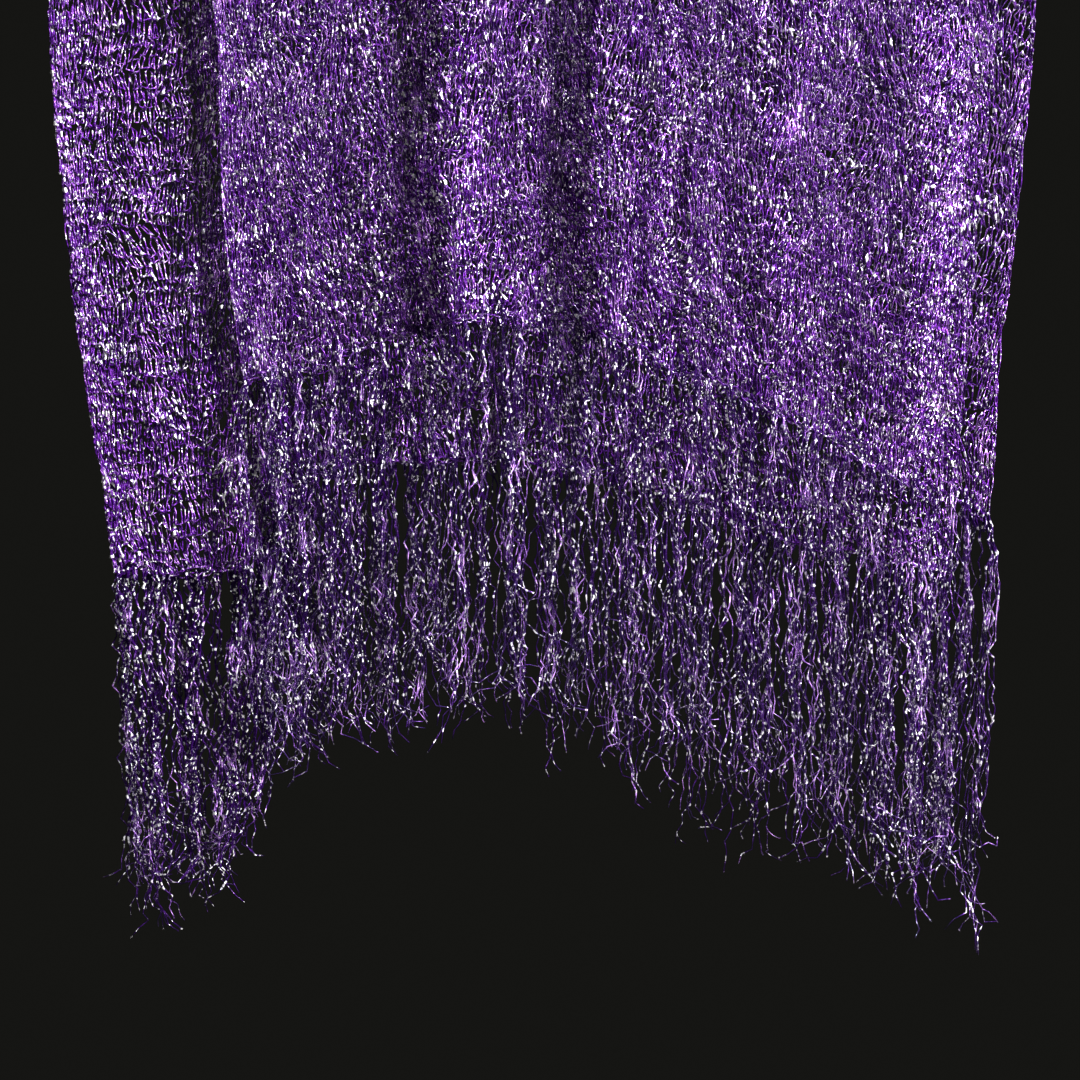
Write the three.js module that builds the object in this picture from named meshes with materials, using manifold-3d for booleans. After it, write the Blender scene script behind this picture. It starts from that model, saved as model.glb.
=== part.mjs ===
// A long net shawl with a fringe at both ends, folded in half over a plain coat hanger.
// The front half hangs a little shorter than the back half and is drawn to one side, so that a strip
// of the back half shows beside it. Millimetres, +Z up, +Y away from the viewer.
// The origin is the seat of the hook: the point where its inner top rests on a rail.

import * as THREE from "three";
import Module from "manifold-3d";
import { mergeVertices } from "three/addons/utils/BufferGeometryUtils.js";

// The cloth
const CLOTH_WIDTH = 480; // selvedge to selvedge, along one course of the net where it lies on the hanger
const WALL = 1.6; // thickness of the net
const SEAM_GAP = 0.3; // clear space where two pieces meet
const COLUMNS = 64; // wall faces across the cloth
const CREST_ANGLES = [31, 62]; // rows over the top of the hanger, in degrees from the seam
const HANGING_ROWS = [0, 0.12, 0.26, 0.4, 0.54, 0.66, 0.77, 0.85, 0.93, 1]; // shares of the drop
const PLUMB_FROM = 0.77; // folds hang straight down below this share of the drop, and fan out above

// The hanger and its hook
const HANGER_HALF = 215; // from the middle to the end of one arm
const HANGER_DROP = 50; // how far an arm falls from the middle to its end
const HANGER_THICK = 12; // front to back
const HANGER_DEEP_MIDDLE = 34; // height of an arm at the middle
const HANGER_DEEP_END = 20; // height of an arm at its end
const HANGER_APEX_EASE = 0.14; // how softly the two arms meet, as a share of an arm
const HANGER_SECTIONS = 22;
const HOOK_WIRE = 4; // diameter
const HOOK_BEND = 22; // radius of the hook to the middle of its wire
const HOOK_EASE = 8; // radius of the bend between the shank and the hook
const HOOK_SEATED = 14; // length of the hook's shank inside the hanger
const HOOK_MOUTH_ANGLE = 196; // degrees, where the hook ends
const HOOK_BALL = 6; // diameter of the rounded end
const WIRE_SIDES = 8;

// How the cloth lies on the hanger
const CURL = HANGER_THICK / 2 + SEAM_GAP + WALL / 2; // radius of the fold to the middle of the wall
const HANGER_TOP = -72; // height of the hanger's top, below the hook's seat
const RIDGE_TOP = HANGER_TOP + SEAM_GAP + WALL / 2; // middle of the wall where it crosses the hanger
const OVERHANG_SIDE = 13; // how far the selvedge hangs past the end of an arm
const OVERHANG_DROP = 14; // how far it falls there
const RIDGE_HALF = HANGER_HALF + OVERHANG_SIDE;

// The fringe
const STRIP_HEIGHT = 6; // knotted edge that the fringe hangs from
const STRANDS = 72; // at each end
const STRAND_THICK = 1.5;
const STRAND_STEPS = 4;
const STRAND_SWAY = 1.2; // most sideways wave of one strand
const TIP_SCATTER = 16; // how uneven the cut ends are

// Each half of the cloth. at: share of the way down from the hanger (0) to the hem (1). The net
// narrows as it hangs, to hemWidth. Folds are troughs, pressed towards the hanger's plane. x is
// their place at the hem, leftRun and rightRun the widths of their two flanks, and depth their
// share of the deepest one.
const FRONT = {
  side: -1,
  hemWidth: 424,
  leftEdge: [
    { at: 0, x: -RIDGE_HALF },
    { at: 0.4, x: -184 },
    { at: 0.76, x: -143 },
    { at: 0.9, x: -140 },
    { at: 1, x: -133 },
  ],
  rightEdge: [
    { at: 0, x: RIDGE_HALF },
    { at: 0.4, x: 221 },
    { at: 0.71, x: 213 },
    { at: 0.82, x: 207 },
    { at: 0.92, x: 198 },
    { at: 1, x: 197 },
  ],
  hem: [
    { x: -133, z: -864 },
    { x: -106, z: -855 },
    { x: -62, z: -841 },
    { x: -18, z: -833 },
    { x: 13, z: -837 },
    { x: 44, z: -848 },
    { x: 98, z: -873 },
    { x: 143, z: -897 },
    { x: 197, z: -922 },
  ],
  folds: [
    { x: -116, depth: 0.4, leftRun: 9, rightRun: 9 },
    { x: -74, depth: 0.6, leftRun: 12, rightRun: 7 },
    { x: -50, depth: 1.0, leftRun: 10, rightRun: 7 },
    { x: 16, depth: 1.0, leftRun: 15, rightRun: 6 },
    { x: 45, depth: 0.3, leftRun: 7, rightRun: 7 },
    { x: 67, depth: 0.5, leftRun: 9, rightRun: 10 },
    { x: 136, depth: 0.85, leftRun: 14, rightRun: 12 },
    { x: 188, depth: 0.7, leftRun: 10, rightRun: 7 },
  ],
  fringe: [
    { x: -133, length: 182, drift: 0 },
    { x: -90, length: 172, drift: 2 },
    { x: -20, length: 178, drift: -3 },
    { x: 60, length: 178, drift: 2 },
    { x: 130, length: 168, drift: 1 },
    { x: 197, length: 176, drift: -3 },
  ],
};

const BACK = {
  side: 1,
  hemWidth: 446,
  leftEdge: [
    { at: 0, x: -RIDGE_HALF },
    { at: 0.4, x: -225 },
    { at: 0.68, x: -220 },
    { at: 0.84, x: -213 },
    { at: 0.95, x: -203 },
    { at: 1, x: -198 },
  ],
  rightEdge: [
    { at: 0, x: RIDGE_HALF },
    { at: 0.4, x: 217 },
    { at: 0.7, x: 205 },
    { at: 0.9, x: 196 },
    { at: 1, x: 194 },
  ],
  hem: [
    { x: -198, z: -949 },
    { x: -150, z: -950 },
    { x: -136, z: -944 },
    { x: -108, z: -908 },
    { x: -90, z: -901 },
    { x: -40, z: -899 },
    { x: 0, z: -902 },
    { x: 47, z: -909 },
    { x: 96, z: -930 },
    { x: 135, z: -941 },
    { x: 194, z: -952 },
  ],
  folds: [
    { x: -199, depth: 0.28, leftRun: 7, rightRun: 8 },
    { x: -184, depth: 0.36, leftRun: 8, rightRun: 8 },
    { x: -124, depth: 1.0, leftRun: 11, rightRun: 9 },
    { x: -62, depth: 0.8, leftRun: 13, rightRun: 12 },
    { x: -6, depth: 0.9, leftRun: 12, rightRun: 12 },
    { x: 52, depth: 0.7, leftRun: 13, rightRun: 13 },
    { x: 112, depth: 0.9, leftRun: 13, rightRun: 12 },
    { x: 168, depth: 0.7, leftRun: 10, rightRun: 12 },
  ],
  fringe: [
    { x: -198, length: 170, drift: 5 },
    { x: -150, length: 164, drift: -2 },
    { x: -132, length: 152, drift: -12 },
    { x: -114, length: 124, drift: 2 },
    { x: -80, length: 134, drift: 0 },
    { x: 0, length: 142, drift: 2 },
    { x: 60, length: 156, drift: 1 },
    { x: 110, length: 164, drift: 2 },
    { x: 194, length: 184, drift: 2 },
  ],
};

const wasm = await Module();
wasm.setup();

const lerp = THREE.MathUtils.lerp;
const radians = THREE.MathUtils.degToRad;

// A smooth curve through a table's rows, read at one key.
function along(table, key, column, value) {
  const last = table.length - 1;
  const keys = table.map((row) => row[key]);
  if (value <= keys[0]) return table[0][column];
  if (value >= keys[last]) return table[last][column];
  const i = keys.findIndex((k) => k > value) - 1;
  const slope = (j) => {
    const before = Math.max(j - 1, 0);
    const after = Math.min(j + 1, last);
    return (table[after][column] - table[before][column]) / (keys[after] - keys[before]);
  };
  const span = keys[i + 1] - keys[i];
  const s = (value - keys[i]) / span;
  const [s2, s3] = [s * s, s * s * s];
  return (
    (2 * s3 - 3 * s2 + 1) * table[i][column] +
    (s3 - 2 * s2 + s) * span * slope(i) +
    (3 * s2 - 2 * s3) * table[i + 1][column] +
    (s3 - s2) * span * slope(i + 1)
  );
}

// A repeatable scatter from -1 to 1 for a numbered strand.
function scatter(number, kind) {
  const wave = Math.sin(number * 12.9898 + kind * 78.233) * 43758.5453;
  return 2 * (wave - Math.floor(wave)) - 1;
}

// How far the hanger's top lies below its middle, at a place along its arms.
function armDrop(x) {
  const share = Math.min(Math.abs(x) / HANGER_HALF, 1);
  const ease = HANGER_APEX_EASE;
  return (HANGER_DROP * (Math.hypot(share, ease) - ease)) / (Math.hypot(1, ease) - ease);
}

// Height of the cloth's ridge. Past the end of an arm the selvedge falls steeply.
function ridgeHeight(x) {
  const past = Math.max(0, Math.abs(x) - HANGER_HALF);
  return RIDGE_TOP - armDrop(x) - (past * OVERHANG_DROP) / OVERHANG_SIDE;
}

// The share of the cloth's width at which a fold lies, at one height.
function foldShare(half, fold, down) {
  const level = Math.max(down, PLUMB_FROM);
  const left = along(half.leftEdge, "at", "x", level);
  const right = along(half.rightEdge, "at", "x", level);
  return (fold.x - left) / (right - left);
}

// One course of the net before it is folded: its line seen from the front, with the troughs' shape
// across it, from 0 on the ridges to 1 in the deepest trough.
const COURSE_STEPS = 480;
function flatCourse(half, down) {
  const left = along(half.leftEdge, "at", "x", down);
  const right = along(half.rightEdge, "at", "x", down);
  const hemLeft = half.leftEdge.at(-1).x;
  const hemRight = half.rightEdge.at(-1).x;
  const centres = half.folds.map((fold) => lerp(left, right, foldShare(half, fold, down)));
  return Array.from({ length: COURSE_STEPS + 1 }, (_, i) => {
    const share = i / COURSE_STEPS;
    const x = lerp(left, right, share);
    const top = ridgeHeight(lerp(-RIDGE_HALF, RIDGE_HALF, share)) - CURL;
    const hem = along(half.hem, "x", "z", lerp(hemLeft, hemRight, share));
    const troughs = half.folds.map((fold, f) => {
      const away = x - centres[f];
      return fold.depth * Math.exp(-((away / (away < 0 ? fold.leftRun : fold.rightRun)) ** 2));
    });
    const pressed = Math.min(troughs.reduce((sum, depth) => sum + depth), 1);
    return { x, z: lerp(top, hem, down), pressed };
  });
}

function foldedCourse(half, flat, foldHeight) {
  return flat.map((p) => new THREE.Vector3(p.x, half.side * (CURL + foldHeight * (1 - p.pressed)), p.z));
}

function lengthOf(points) {
  return points.slice(1).reduce((sum, p, i) => sum + p.distanceTo(points[i]), 0);
}

// The course with folds just high enough to take up the width that the net has at that height.
const TALLEST_FOLD = 60;
const HALVINGS = 20;
function gatheredCourse(half, down) {
  const width = lerp(CLOTH_WIDTH, half.hemWidth, down);
  const flat = flatCourse(half, down);
  let [low, high] = [0, TALLEST_FOLD];
  for (let i = 0; i < HALVINGS; i++) {
    const middle = (low + high) / 2;
    if (lengthOf(foldedCourse(half, flat, middle)) < width) low = middle;
    else high = middle;
  }
  return foldedCourse(half, flat, low);
}

// Equally spaced points along a polyline, so that columns follow the threads.
function spaced(points, count) {
  const total = lengthOf(points);
  const found = [points[0].clone()];
  let [walked, i] = [0, 0];
  for (let n = 1; n < count; n++) {
    const target = (total * n) / count;
    while (walked + points[i].distanceTo(points[i + 1]) < target) {
      walked += points[i].distanceTo(points[i + 1]);
      i++;
    }
    const share = (target - walked) / points[i].distanceTo(points[i + 1]);
    found.push(points[i].clone().lerp(points[i + 1], share));
  }
  found.push(points.at(-1).clone());
  return found;
}

// Level directions that point out of the cloth, away from the hanger.
function outwardDirections(row, side) {
  return row.map((_, i) => {
    const before = row[Math.max(i - 1, 0)];
    const after = row[Math.min(i + 1, row.length - 1)];
    const [dx, dy] = [after.x - before.x, after.y - before.y];
    return new THREE.Vector3(-dy * side, dx * side, 0).normalize();
  });
}

// A closed mesh from points and triangles, turned so that its faces point out.
function closedMesh(points, triangles) {
  const a = new THREE.Vector3();
  let volume = 0;
  for (let i = 0; i < triangles.length; i += 3) {
    const [p, q, r] = [0, 1, 2].map((k) => points[triangles[i + k]]);
    volume += p.dot(a.crossVectors(q, r));
  }
  const index = [...triangles];
  if (volume < 0) {
    for (let i = 0; i < index.length; i += 3) [index[i + 1], index[i + 2]] = [index[i + 2], index[i + 1]];
  }
  return new THREE.BufferGeometry().setFromPoints(points).setIndex(index);
}

// A wall of even thickness about a grid of points.
function wall(grid, directions, thickness) {
  const rows = grid.length;
  const columns = grid[0].length;
  const points = [];
  for (const way of [0.5, -0.5]) {
    grid.forEach((row, r) =>
      row.forEach((p, c) => points.push(p.clone().addScaledVector(directions[r][c], way * thickness))),
    );
  }
  const outer = (r, c) => r * columns + c;
  const inner = (r, c) => rows * columns + outer(r, c);
  const triangles = [];
  const quad = (a, b, c, d) => triangles.push(a, b, c, a, c, d);
  for (let r = 0; r + 1 < rows; r++) {
    for (let c = 0; c + 1 < columns; c++) {
      quad(outer(r, c), outer(r, c + 1), outer(r + 1, c + 1), outer(r + 1, c));
      quad(inner(r, c), inner(r + 1, c), inner(r + 1, c + 1), inner(r, c + 1));
    }
    quad(outer(r, 0), outer(r + 1, 0), inner(r + 1, 0), inner(r, 0));
    const end = columns - 1;
    quad(outer(r, end), inner(r, end), inner(r + 1, end), outer(r + 1, end));
  }
  for (let c = 0; c + 1 < columns; c++) {
    const end = rows - 1;
    quad(outer(0, c), inner(0, c), inner(0, c + 1), outer(0, c + 1));
    quad(outer(end, c), outer(end, c + 1), inner(end, c + 1), inner(end, c));
  }
  return closedMesh(points, triangles);
}

// A solid skinned over rings of points, with flat ends.
function skinned(rings) {
  const sides = rings[0].length;
  const triangles = [];
  for (let r = 0; r + 1 < rings.length; r++) {
    for (let s = 0; s < sides; s++) {
      const next = (s + 1) % sides;
      const [a, b] = [r * sides + s, r * sides + next];
      triangles.push(a, b, b + sides, a, b + sides, a + sides);
    }
  }
  const far = (rings.length - 1) * sides;
  for (let s = 1; s + 1 < sides; s++) {
    triangles.push(0, s + 1, s, far, far + s, far + s + 1);
  }
  return closedMesh(rings.flat(), triangles);
}

// Rings of a level-sided rod that follows a line of points.
function rodRings(line, radii, sides) {
  return line.map((p, i) => {
    const before = line[Math.max(i - 1, 0)];
    const after = line[Math.min(i + 1, line.length - 1)];
    const ahead = after.clone().sub(before).normalize();
    const across = new THREE.Vector3(0, 1, 0).addScaledVector(ahead, -ahead.y).normalize();
    const third = ahead.clone().cross(across);
    return Array.from({ length: sides }, (_, s) => {
      const turn = (2 * Math.PI * s) / sides;
      return p
        .clone()
        .addScaledVector(across, radii[i] * Math.cos(turn))
        .addScaledVector(third, radii[i] * Math.sin(turn));
    });
  });
}

function toSolid(geometry) {
  const bare = geometry.clone();
  for (const name of Object.keys(bare.attributes)) {
    if (name !== "position") bare.deleteAttribute(name);
  }
  const merged = mergeVertices(bare);
  const vertProperties = new Float32Array(merged.attributes.position.array);
  const triVerts = new Uint32Array(merged.index.array);
  return new wasm.Manifold(new wasm.Mesh({ numProp: 3, vertProperties, triVerts }));
}

function toGeometry(solid) {
  const mesh = solid.getMesh();
  return new THREE.BufferGeometry()
    .setAttribute("position", new THREE.BufferAttribute(mesh.vertProperties, 3))
    .setIndex(new THREE.BufferAttribute(mesh.triVerts, 1));
}

// An upright round post, for cutting a hole down the middle.
function post(radius, bottom, top) {
  const geometry = new THREE.CylinderGeometry(radius, radius, top - bottom, 16);
  geometry.rotateX(Math.PI / 2);
  geometry.translate(0, 0, (top + bottom) / 2);
  return toSolid(geometry);
}

function hemCourse(half) {
  return spaced(gatheredCourse(half, 1), COLUMNS);
}

// One half of the cloth: round the top of the hanger, then down to the hem.
const NECK_CLEARANCE = 0.6; // how far the net stands off the hook's shank, beyond the seam's gap
function panel(half) {
  const grid = [];
  const directions = [];
  const ridge = spaced(gatheredCourse(half, 0), COLUMNS);
  const seamAngle = Math.asin(SEAM_GAP / 2 / CURL);
  for (const angle of [seamAngle, ...CREST_ANGLES.map(radians)]) {
    const [outward, upward] = [CURL * Math.sin(angle), CURL * Math.cos(angle)];
    grid.push(ridge.map((p) => new THREE.Vector3(p.x, half.side * outward, p.z + upward)));
    directions.push(ridge.map(() => new THREE.Vector3(0, half.side * Math.sin(angle), Math.cos(angle))));
  }
  for (const down of HANGING_ROWS) {
    const row = spaced(gatheredCourse(half, down), COLUMNS);
    grid.push(row);
    directions.push(outwardDirections(row, half.side));
  }
  const neck = post(HOOK_WIRE / 2 + SEAM_GAP + NECK_CLEARANCE, HANGER_TOP - CURL, HANGER_TOP + 2 * CURL);
  return toGeometry(toSolid(wall(grid, directions, WALL)).subtract(neck));
}

// One strand of fringe, waving a little and thinning to its cut end.
const TIP_SHARE = 0.6; // thickness of the end of a strand, as a share of its root's
const STRAND_WAVES = 6; // how far a strand's sway turns along its length, in radians
function strand(root, number, half) {
  const spread = along(half.fringe, "x", "drift", root.x);
  const length = along(half.fringe, "x", "length", root.x) + TIP_SCATTER * 0.5 * scatter(number, 1);
  const turn = Math.PI * scatter(number, 2);
  const line = [];
  const radii = [];
  for (let i = 0; i <= STRAND_STEPS; i++) {
    const share = i / STRAND_STEPS;
    const sway = STRAND_SWAY * Math.min(1, 3 * share);
    const point = new THREE.Vector3(
      root.x + spread * share * share + sway * Math.sin(turn + STRAND_WAVES * share),
      root.y + sway * Math.cos(turn + STRAND_WAVES * share) * 0.5,
      root.z - length * share,
    );
    line.push(point);
    radii.push((STRAND_THICK / 2) * lerp(1, TIP_SHARE, share));
  }
  return toSolid(skinned(rodRings(line, radii, 3)));
}

// The knotted strip below the hem, and the strands that hang from it.
function fringe(half) {
  const hem = hemCourse(half);
  const lowered = (by) => hem.map((p) => p.clone().setZ(p.z - by));
  const levels = [SEAM_GAP, SEAM_GAP + STRIP_HEIGHT];
  const directions = levels.map(() => outwardDirections(hem, half.side));
  const solids = [toSolid(wall(levels.map(lowered), directions, WALL))];
  const roots = spaced(hem, STRANDS * 2).filter((_, i) => i % 2 === 1);
  roots.forEach((p, i) => {
    const root = p.clone().setZ(p.z - SEAM_GAP - STRIP_HEIGHT / 2);
    solids.push(strand(root, i + STRANDS * (half.side + 1), half));
  });
  return toGeometry(wasm.Manifold.union(solids));
}

// The hanger's two arms: sections with a round top and bottom, smaller at the rounded ends.
const END_ROUNDING = 8; // length over which an arm's end is rounded off
const SECTION_CORNERS = 12;
function arms() {
  const rings = [];
  const places = [];
  for (let i = 0; i <= HANGER_SECTIONS; i++) {
    places.push(lerp(-HANGER_HALF, HANGER_HALF, i / HANGER_SECTIONS));
  }
  const shoulder = HANGER_HALF - END_ROUNDING;
  places.splice(1, 0, -shoulder);
  places.splice(-1, 0, shoulder);
  for (const x of places) {
    const share = Math.abs(x) / HANGER_HALF;
    const rounded = Math.abs(x) < HANGER_HALF ? 1 : 0.45;
    const half = (HANGER_THICK / 2) * rounded;
    const deep = lerp(HANGER_DEEP_MIDDLE, HANGER_DEEP_END, share) * (rounded < 1 ? 0.7 : 1);
    const middle = HANGER_TOP - armDrop(x) - HANGER_THICK / 2;
    const lift = deep - HANGER_THICK;
    const ring = [];
    for (let s = 0; s < SECTION_CORNERS; s++) {
      const turn = (2 * Math.PI * s) / SECTION_CORNERS;
      const low = Math.sin(turn) < -1e-6 ? lift : 0;
      ring.push(new THREE.Vector3(x, half * Math.cos(turn), middle + half * Math.sin(turn) - low));
    }
    rings.push(ring);
  }
  const solid = toSolid(skinned(rings));
  const socket = post(HOOK_WIRE / 2 + SEAM_GAP, HANGER_TOP - HOOK_SEATED - SEAM_GAP, HANGER_TOP + CURL);
  return toGeometry(solid.subtract(socket));
}

// Points round an arc in the hanger's plane, without its first point.
function arc(x, z, radius, from, to, steps) {
  return Array.from({ length: steps }, (_, i) => {
    const turn = lerp(from, to, (i + 1) / steps);
    return new THREE.Vector3(x + radius * Math.cos(turn), 0, z + radius * Math.sin(turn));
  });
}

// The hook: a straight shank that bends into an open ring with a rounded end.
const HOOK_EASE_STEPS = 5;
const HOOK_RING_STEPS = 22;
function hook() {
  const wire = HOOK_WIRE / 2;
  const centre = -(HOOK_BEND - wire);
  const easeCentre = centre - Math.sqrt((HOOK_BEND + HOOK_EASE) ** 2 - HOOK_EASE ** 2);
  const meet = Math.atan2(easeCentre - centre, HOOK_EASE);
  const line = [HANGER_TOP - HOOK_SEATED, HANGER_TOP, easeCentre].map((z) => new THREE.Vector3(0, 0, z));
  line.push(...arc(HOOK_EASE, easeCentre, HOOK_EASE, Math.PI, Math.PI + meet, HOOK_EASE_STEPS));
  line.push(...arc(0, centre, HOOK_BEND, meet, radians(HOOK_MOUTH_ANGLE), HOOK_RING_STEPS));
  const radii = line.map(() => wire);
  const ball = new THREE.SphereGeometry(HOOK_BALL / 2, 10, 8);
  const end = line.at(-1);
  ball.translate(end.x, end.y, end.z);
  return toGeometry(toSolid(skinned(rodRings(line, radii, WIRE_SIDES))).add(toSolid(ball)));
}

function cloth(colour, roughness, metalness) {
  return new THREE.MeshStandardMaterial({ color: colour, roughness, metalness });
}

function named(name, geometry, material) {
  const mesh = new THREE.Mesh(geometry, material);
  mesh.name = name;
  return mesh;
}

const shawl = new THREE.Group();
shawl.add(
  named("front_panel", panel(FRONT), cloth(0x5a2f9e, 0.45, 0.25)),
  named("back_panel", panel(BACK), cloth(0x4a2688, 0.45, 0.25)),
  named("front_fringe", fringe(FRONT), cloth(0x5a2f9e, 0.4, 0.3)),
  named("back_fringe", fringe(BACK), cloth(0x4a2688, 0.4, 0.3)),
  named("hanger", arms(), new THREE.MeshStandardMaterial({ color: 0xb98a55, roughness: 0.45, metalness: 0 })),
  named("hook", hook(), new THREE.MeshStandardMaterial({ color: 0xb8b8bc, roughness: 0.25, metalness: 1 })),
);

export default shawl;
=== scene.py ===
import logging
import math
from dataclasses import dataclass, field
from enum import Enum
from typing import Any, Iterable

import bpy
import numpy as np
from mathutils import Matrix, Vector


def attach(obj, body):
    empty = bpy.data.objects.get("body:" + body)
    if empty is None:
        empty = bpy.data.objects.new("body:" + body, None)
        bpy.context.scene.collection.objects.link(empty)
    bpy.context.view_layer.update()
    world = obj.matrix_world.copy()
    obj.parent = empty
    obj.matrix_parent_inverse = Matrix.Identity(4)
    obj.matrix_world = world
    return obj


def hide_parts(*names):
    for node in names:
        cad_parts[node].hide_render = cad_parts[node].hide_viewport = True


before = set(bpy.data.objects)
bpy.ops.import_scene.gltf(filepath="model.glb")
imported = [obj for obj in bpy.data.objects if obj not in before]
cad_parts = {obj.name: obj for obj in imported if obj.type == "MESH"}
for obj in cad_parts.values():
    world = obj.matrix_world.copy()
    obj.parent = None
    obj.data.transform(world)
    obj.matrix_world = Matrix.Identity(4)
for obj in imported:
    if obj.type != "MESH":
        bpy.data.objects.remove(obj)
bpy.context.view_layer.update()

LOG = logging.getLogger("shawl")
MM = 0.001
TINY = 1e-9
BODY = "root"


# Tables and curves


@dataclass(frozen=True)
class Profile:
    """A smooth curve through a short table of points."""

    rows: tuple[tuple[float, float], ...]

    def at(self, places: np.ndarray | float) -> np.ndarray:
        """Reads the curve.

        Args:
            places: where to read it, on the table's first column.

        Returns:
            The values there, held at the table's ends.
        """
        keys, values = np.array(self.rows, float).T
        slopes = np.empty_like(values)
        slopes[1:-1] = (values[2:] - values[:-2]) / (keys[2:] - keys[:-2])
        slopes[0] = (values[1] - values[0]) / (keys[1] - keys[0])
        slopes[-1] = (values[-1] - values[-2]) / (keys[-1] - keys[-2])
        at = np.clip(np.asarray(places, float), keys[0], keys[-1])
        i = np.clip(np.searchsorted(keys, at, "right") - 1, 0, len(keys) - 2)
        span = keys[i + 1] - keys[i]
        s = (at - keys[i]) / span
        s2, s3 = s * s, s * s * s
        return (
            (2 * s3 - 3 * s2 + 1) * values[i]
            + (s3 - 2 * s2 + s) * span * slopes[i]
            + (3 * s2 - 2 * s3) * values[i + 1]
            + (s3 - s2) * span * slopes[i + 1]
        )


def smooth_step(low: float, high: float, values: np.ndarray) -> np.ndarray:
    """Returns 0 below low, 1 above high and a soft rise between them."""
    s = np.clip((values - low) / (high - low), 0, 1)
    return s * s * (3 - 2 * s)


def sway(
    first: np.ndarray,
    second: np.ndarray,
    seed: int,
    waves: int = 7,
    paces: tuple[float, float] = (2.2, 6.0),
) -> np.ndarray:
    """A smooth repeatable scatter over two coordinates.

    Args:
        first: one coordinate, about 1 for each swell.
        second: the other coordinate.
        seed: picks the scatter.
        waves: how many swells are laid over each other.
        paces: the slowest and the quickest of them.

    Returns:
        Values of about -1 to 1.
    """
    rng = np.random.default_rng(seed)
    total = np.zeros(np.broadcast(first, second).shape)
    for _ in range(waves):
        turn, phase = rng.uniform(0, 2 * math.pi, 2)
        pace = rng.uniform(*paces)
        total += np.sin(pace * (first * math.cos(turn) + second * math.sin(turn)) + phase)
    return total / math.sqrt(waves)


@dataclass(frozen=True)
class Swell:
    """A smooth scatter with its height, its paces along two coordinates and its own draw."""

    height: float
    paces: tuple[float, float]
    draw: int

    def at(self, first: np.ndarray, second: np.ndarray, seed: int) -> np.ndarray:
        """Returns the scatter's values at two coordinates."""
        return self.height * sway(first * self.paces[0], second * self.paces[1], seed + self.draw)


def unit(vectors: np.ndarray) -> np.ndarray:
    """Returns the vectors brought to a length of 1."""
    return vectors / np.maximum(np.linalg.norm(vectors, axis=-1, keepdims=True), TINY)


def walked(start: np.ndarray, ways: list[np.ndarray], step: np.ndarray) -> np.ndarray:
    """Lays lines that take one step at each stop.

    Args:
        start: where each line starts.
        ways: how far to the side, back and up each step points.
        step: the length of each line's steps.

    Returns:
        The lines' points.
    """
    moves = np.stack([way * step for way in ways], axis=2)
    moves[:, 0] = 0
    return start[:, None] + moves.cumsum(axis=1)


def tighter_edges(
    across: np.ndarray, left: float = 0.78, right: float = 0.2, width: float = 0.06
) -> np.ndarray:
    """Draws places near the cloth's two edges together.

    Args:
        across: shares of the width.
        left: how strongly at the left edge, from 0 to 1.
        right: how strongly at the right edge.
        width: how far in from an edge the places are drawn.

    Returns:
        The new shares.
    """
    drawn = across + left * width * np.exp(-across / width) - right * width * np.exp(-(1 - across) / width)
    far = math.exp(-1 / width)
    low, high = width * (left - right * far), 1 + width * (left * far - right)
    return np.clip((drawn - low) / (high - low), 0, 1)


# The cloth's form, in millimetres, the same as the solids'


@dataclass(frozen=True)
class Crease:
    """A small soft ridge or trough laid over the folds.

    It runs from the height top to the height bottom, at x in its middle, and leans by lean over its
    length. lift is how far it stands out, below 0 for a trough, and run is its half width.
    """

    x: float
    top: float
    bottom: float
    lift: float
    run: float
    lean: float = 0.0


@dataclass(frozen=True)
class HangerForm:
    """The hanger's arms, whose top carries the cloth."""

    half: float = 215.0
    drop: float = 50.0
    thick: float = 12.0
    deep_middle: float = 34.0
    deep_end: float = 20.0
    ease: float = 0.14
    top: float = -72.0

    def arm_drop(self, x: np.ndarray) -> np.ndarray:
        """Returns how far the arms' top lies below its middle at x."""
        share = np.minimum(np.abs(x) / self.half, 1)
        return self.drop * (np.hypot(share, self.ease) - self.ease) / (math.hypot(1, self.ease) - self.ease)


@dataclass(frozen=True)
class Half:
    """One half of the cloth: its edges, hem, folds and fringe, in millimetres.

    side is -1 in front and 1 behind. relief gives how far the folds stand out at each place across
    the cloth, as a share of their full height, which fold_size scales, and relief_ends are the two
    edges' places in that table. The fringe's bundles have lengths, a drift of their tips to the side
    and a crowd of filaments, and hang no farther from the hanger's middle than deepest.
    """

    name: str
    side: int
    seed: int
    stitches: int
    bundles: int
    fold_size: float
    deepest: float
    left_edge: Profile
    right_edge: Profile
    hem: Profile
    relief: Profile
    relief_ends: tuple[float, float]
    creases: tuple[Crease, ...]
    strand_length: Profile
    strand_drift: Profile
    crowd: Profile


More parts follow.
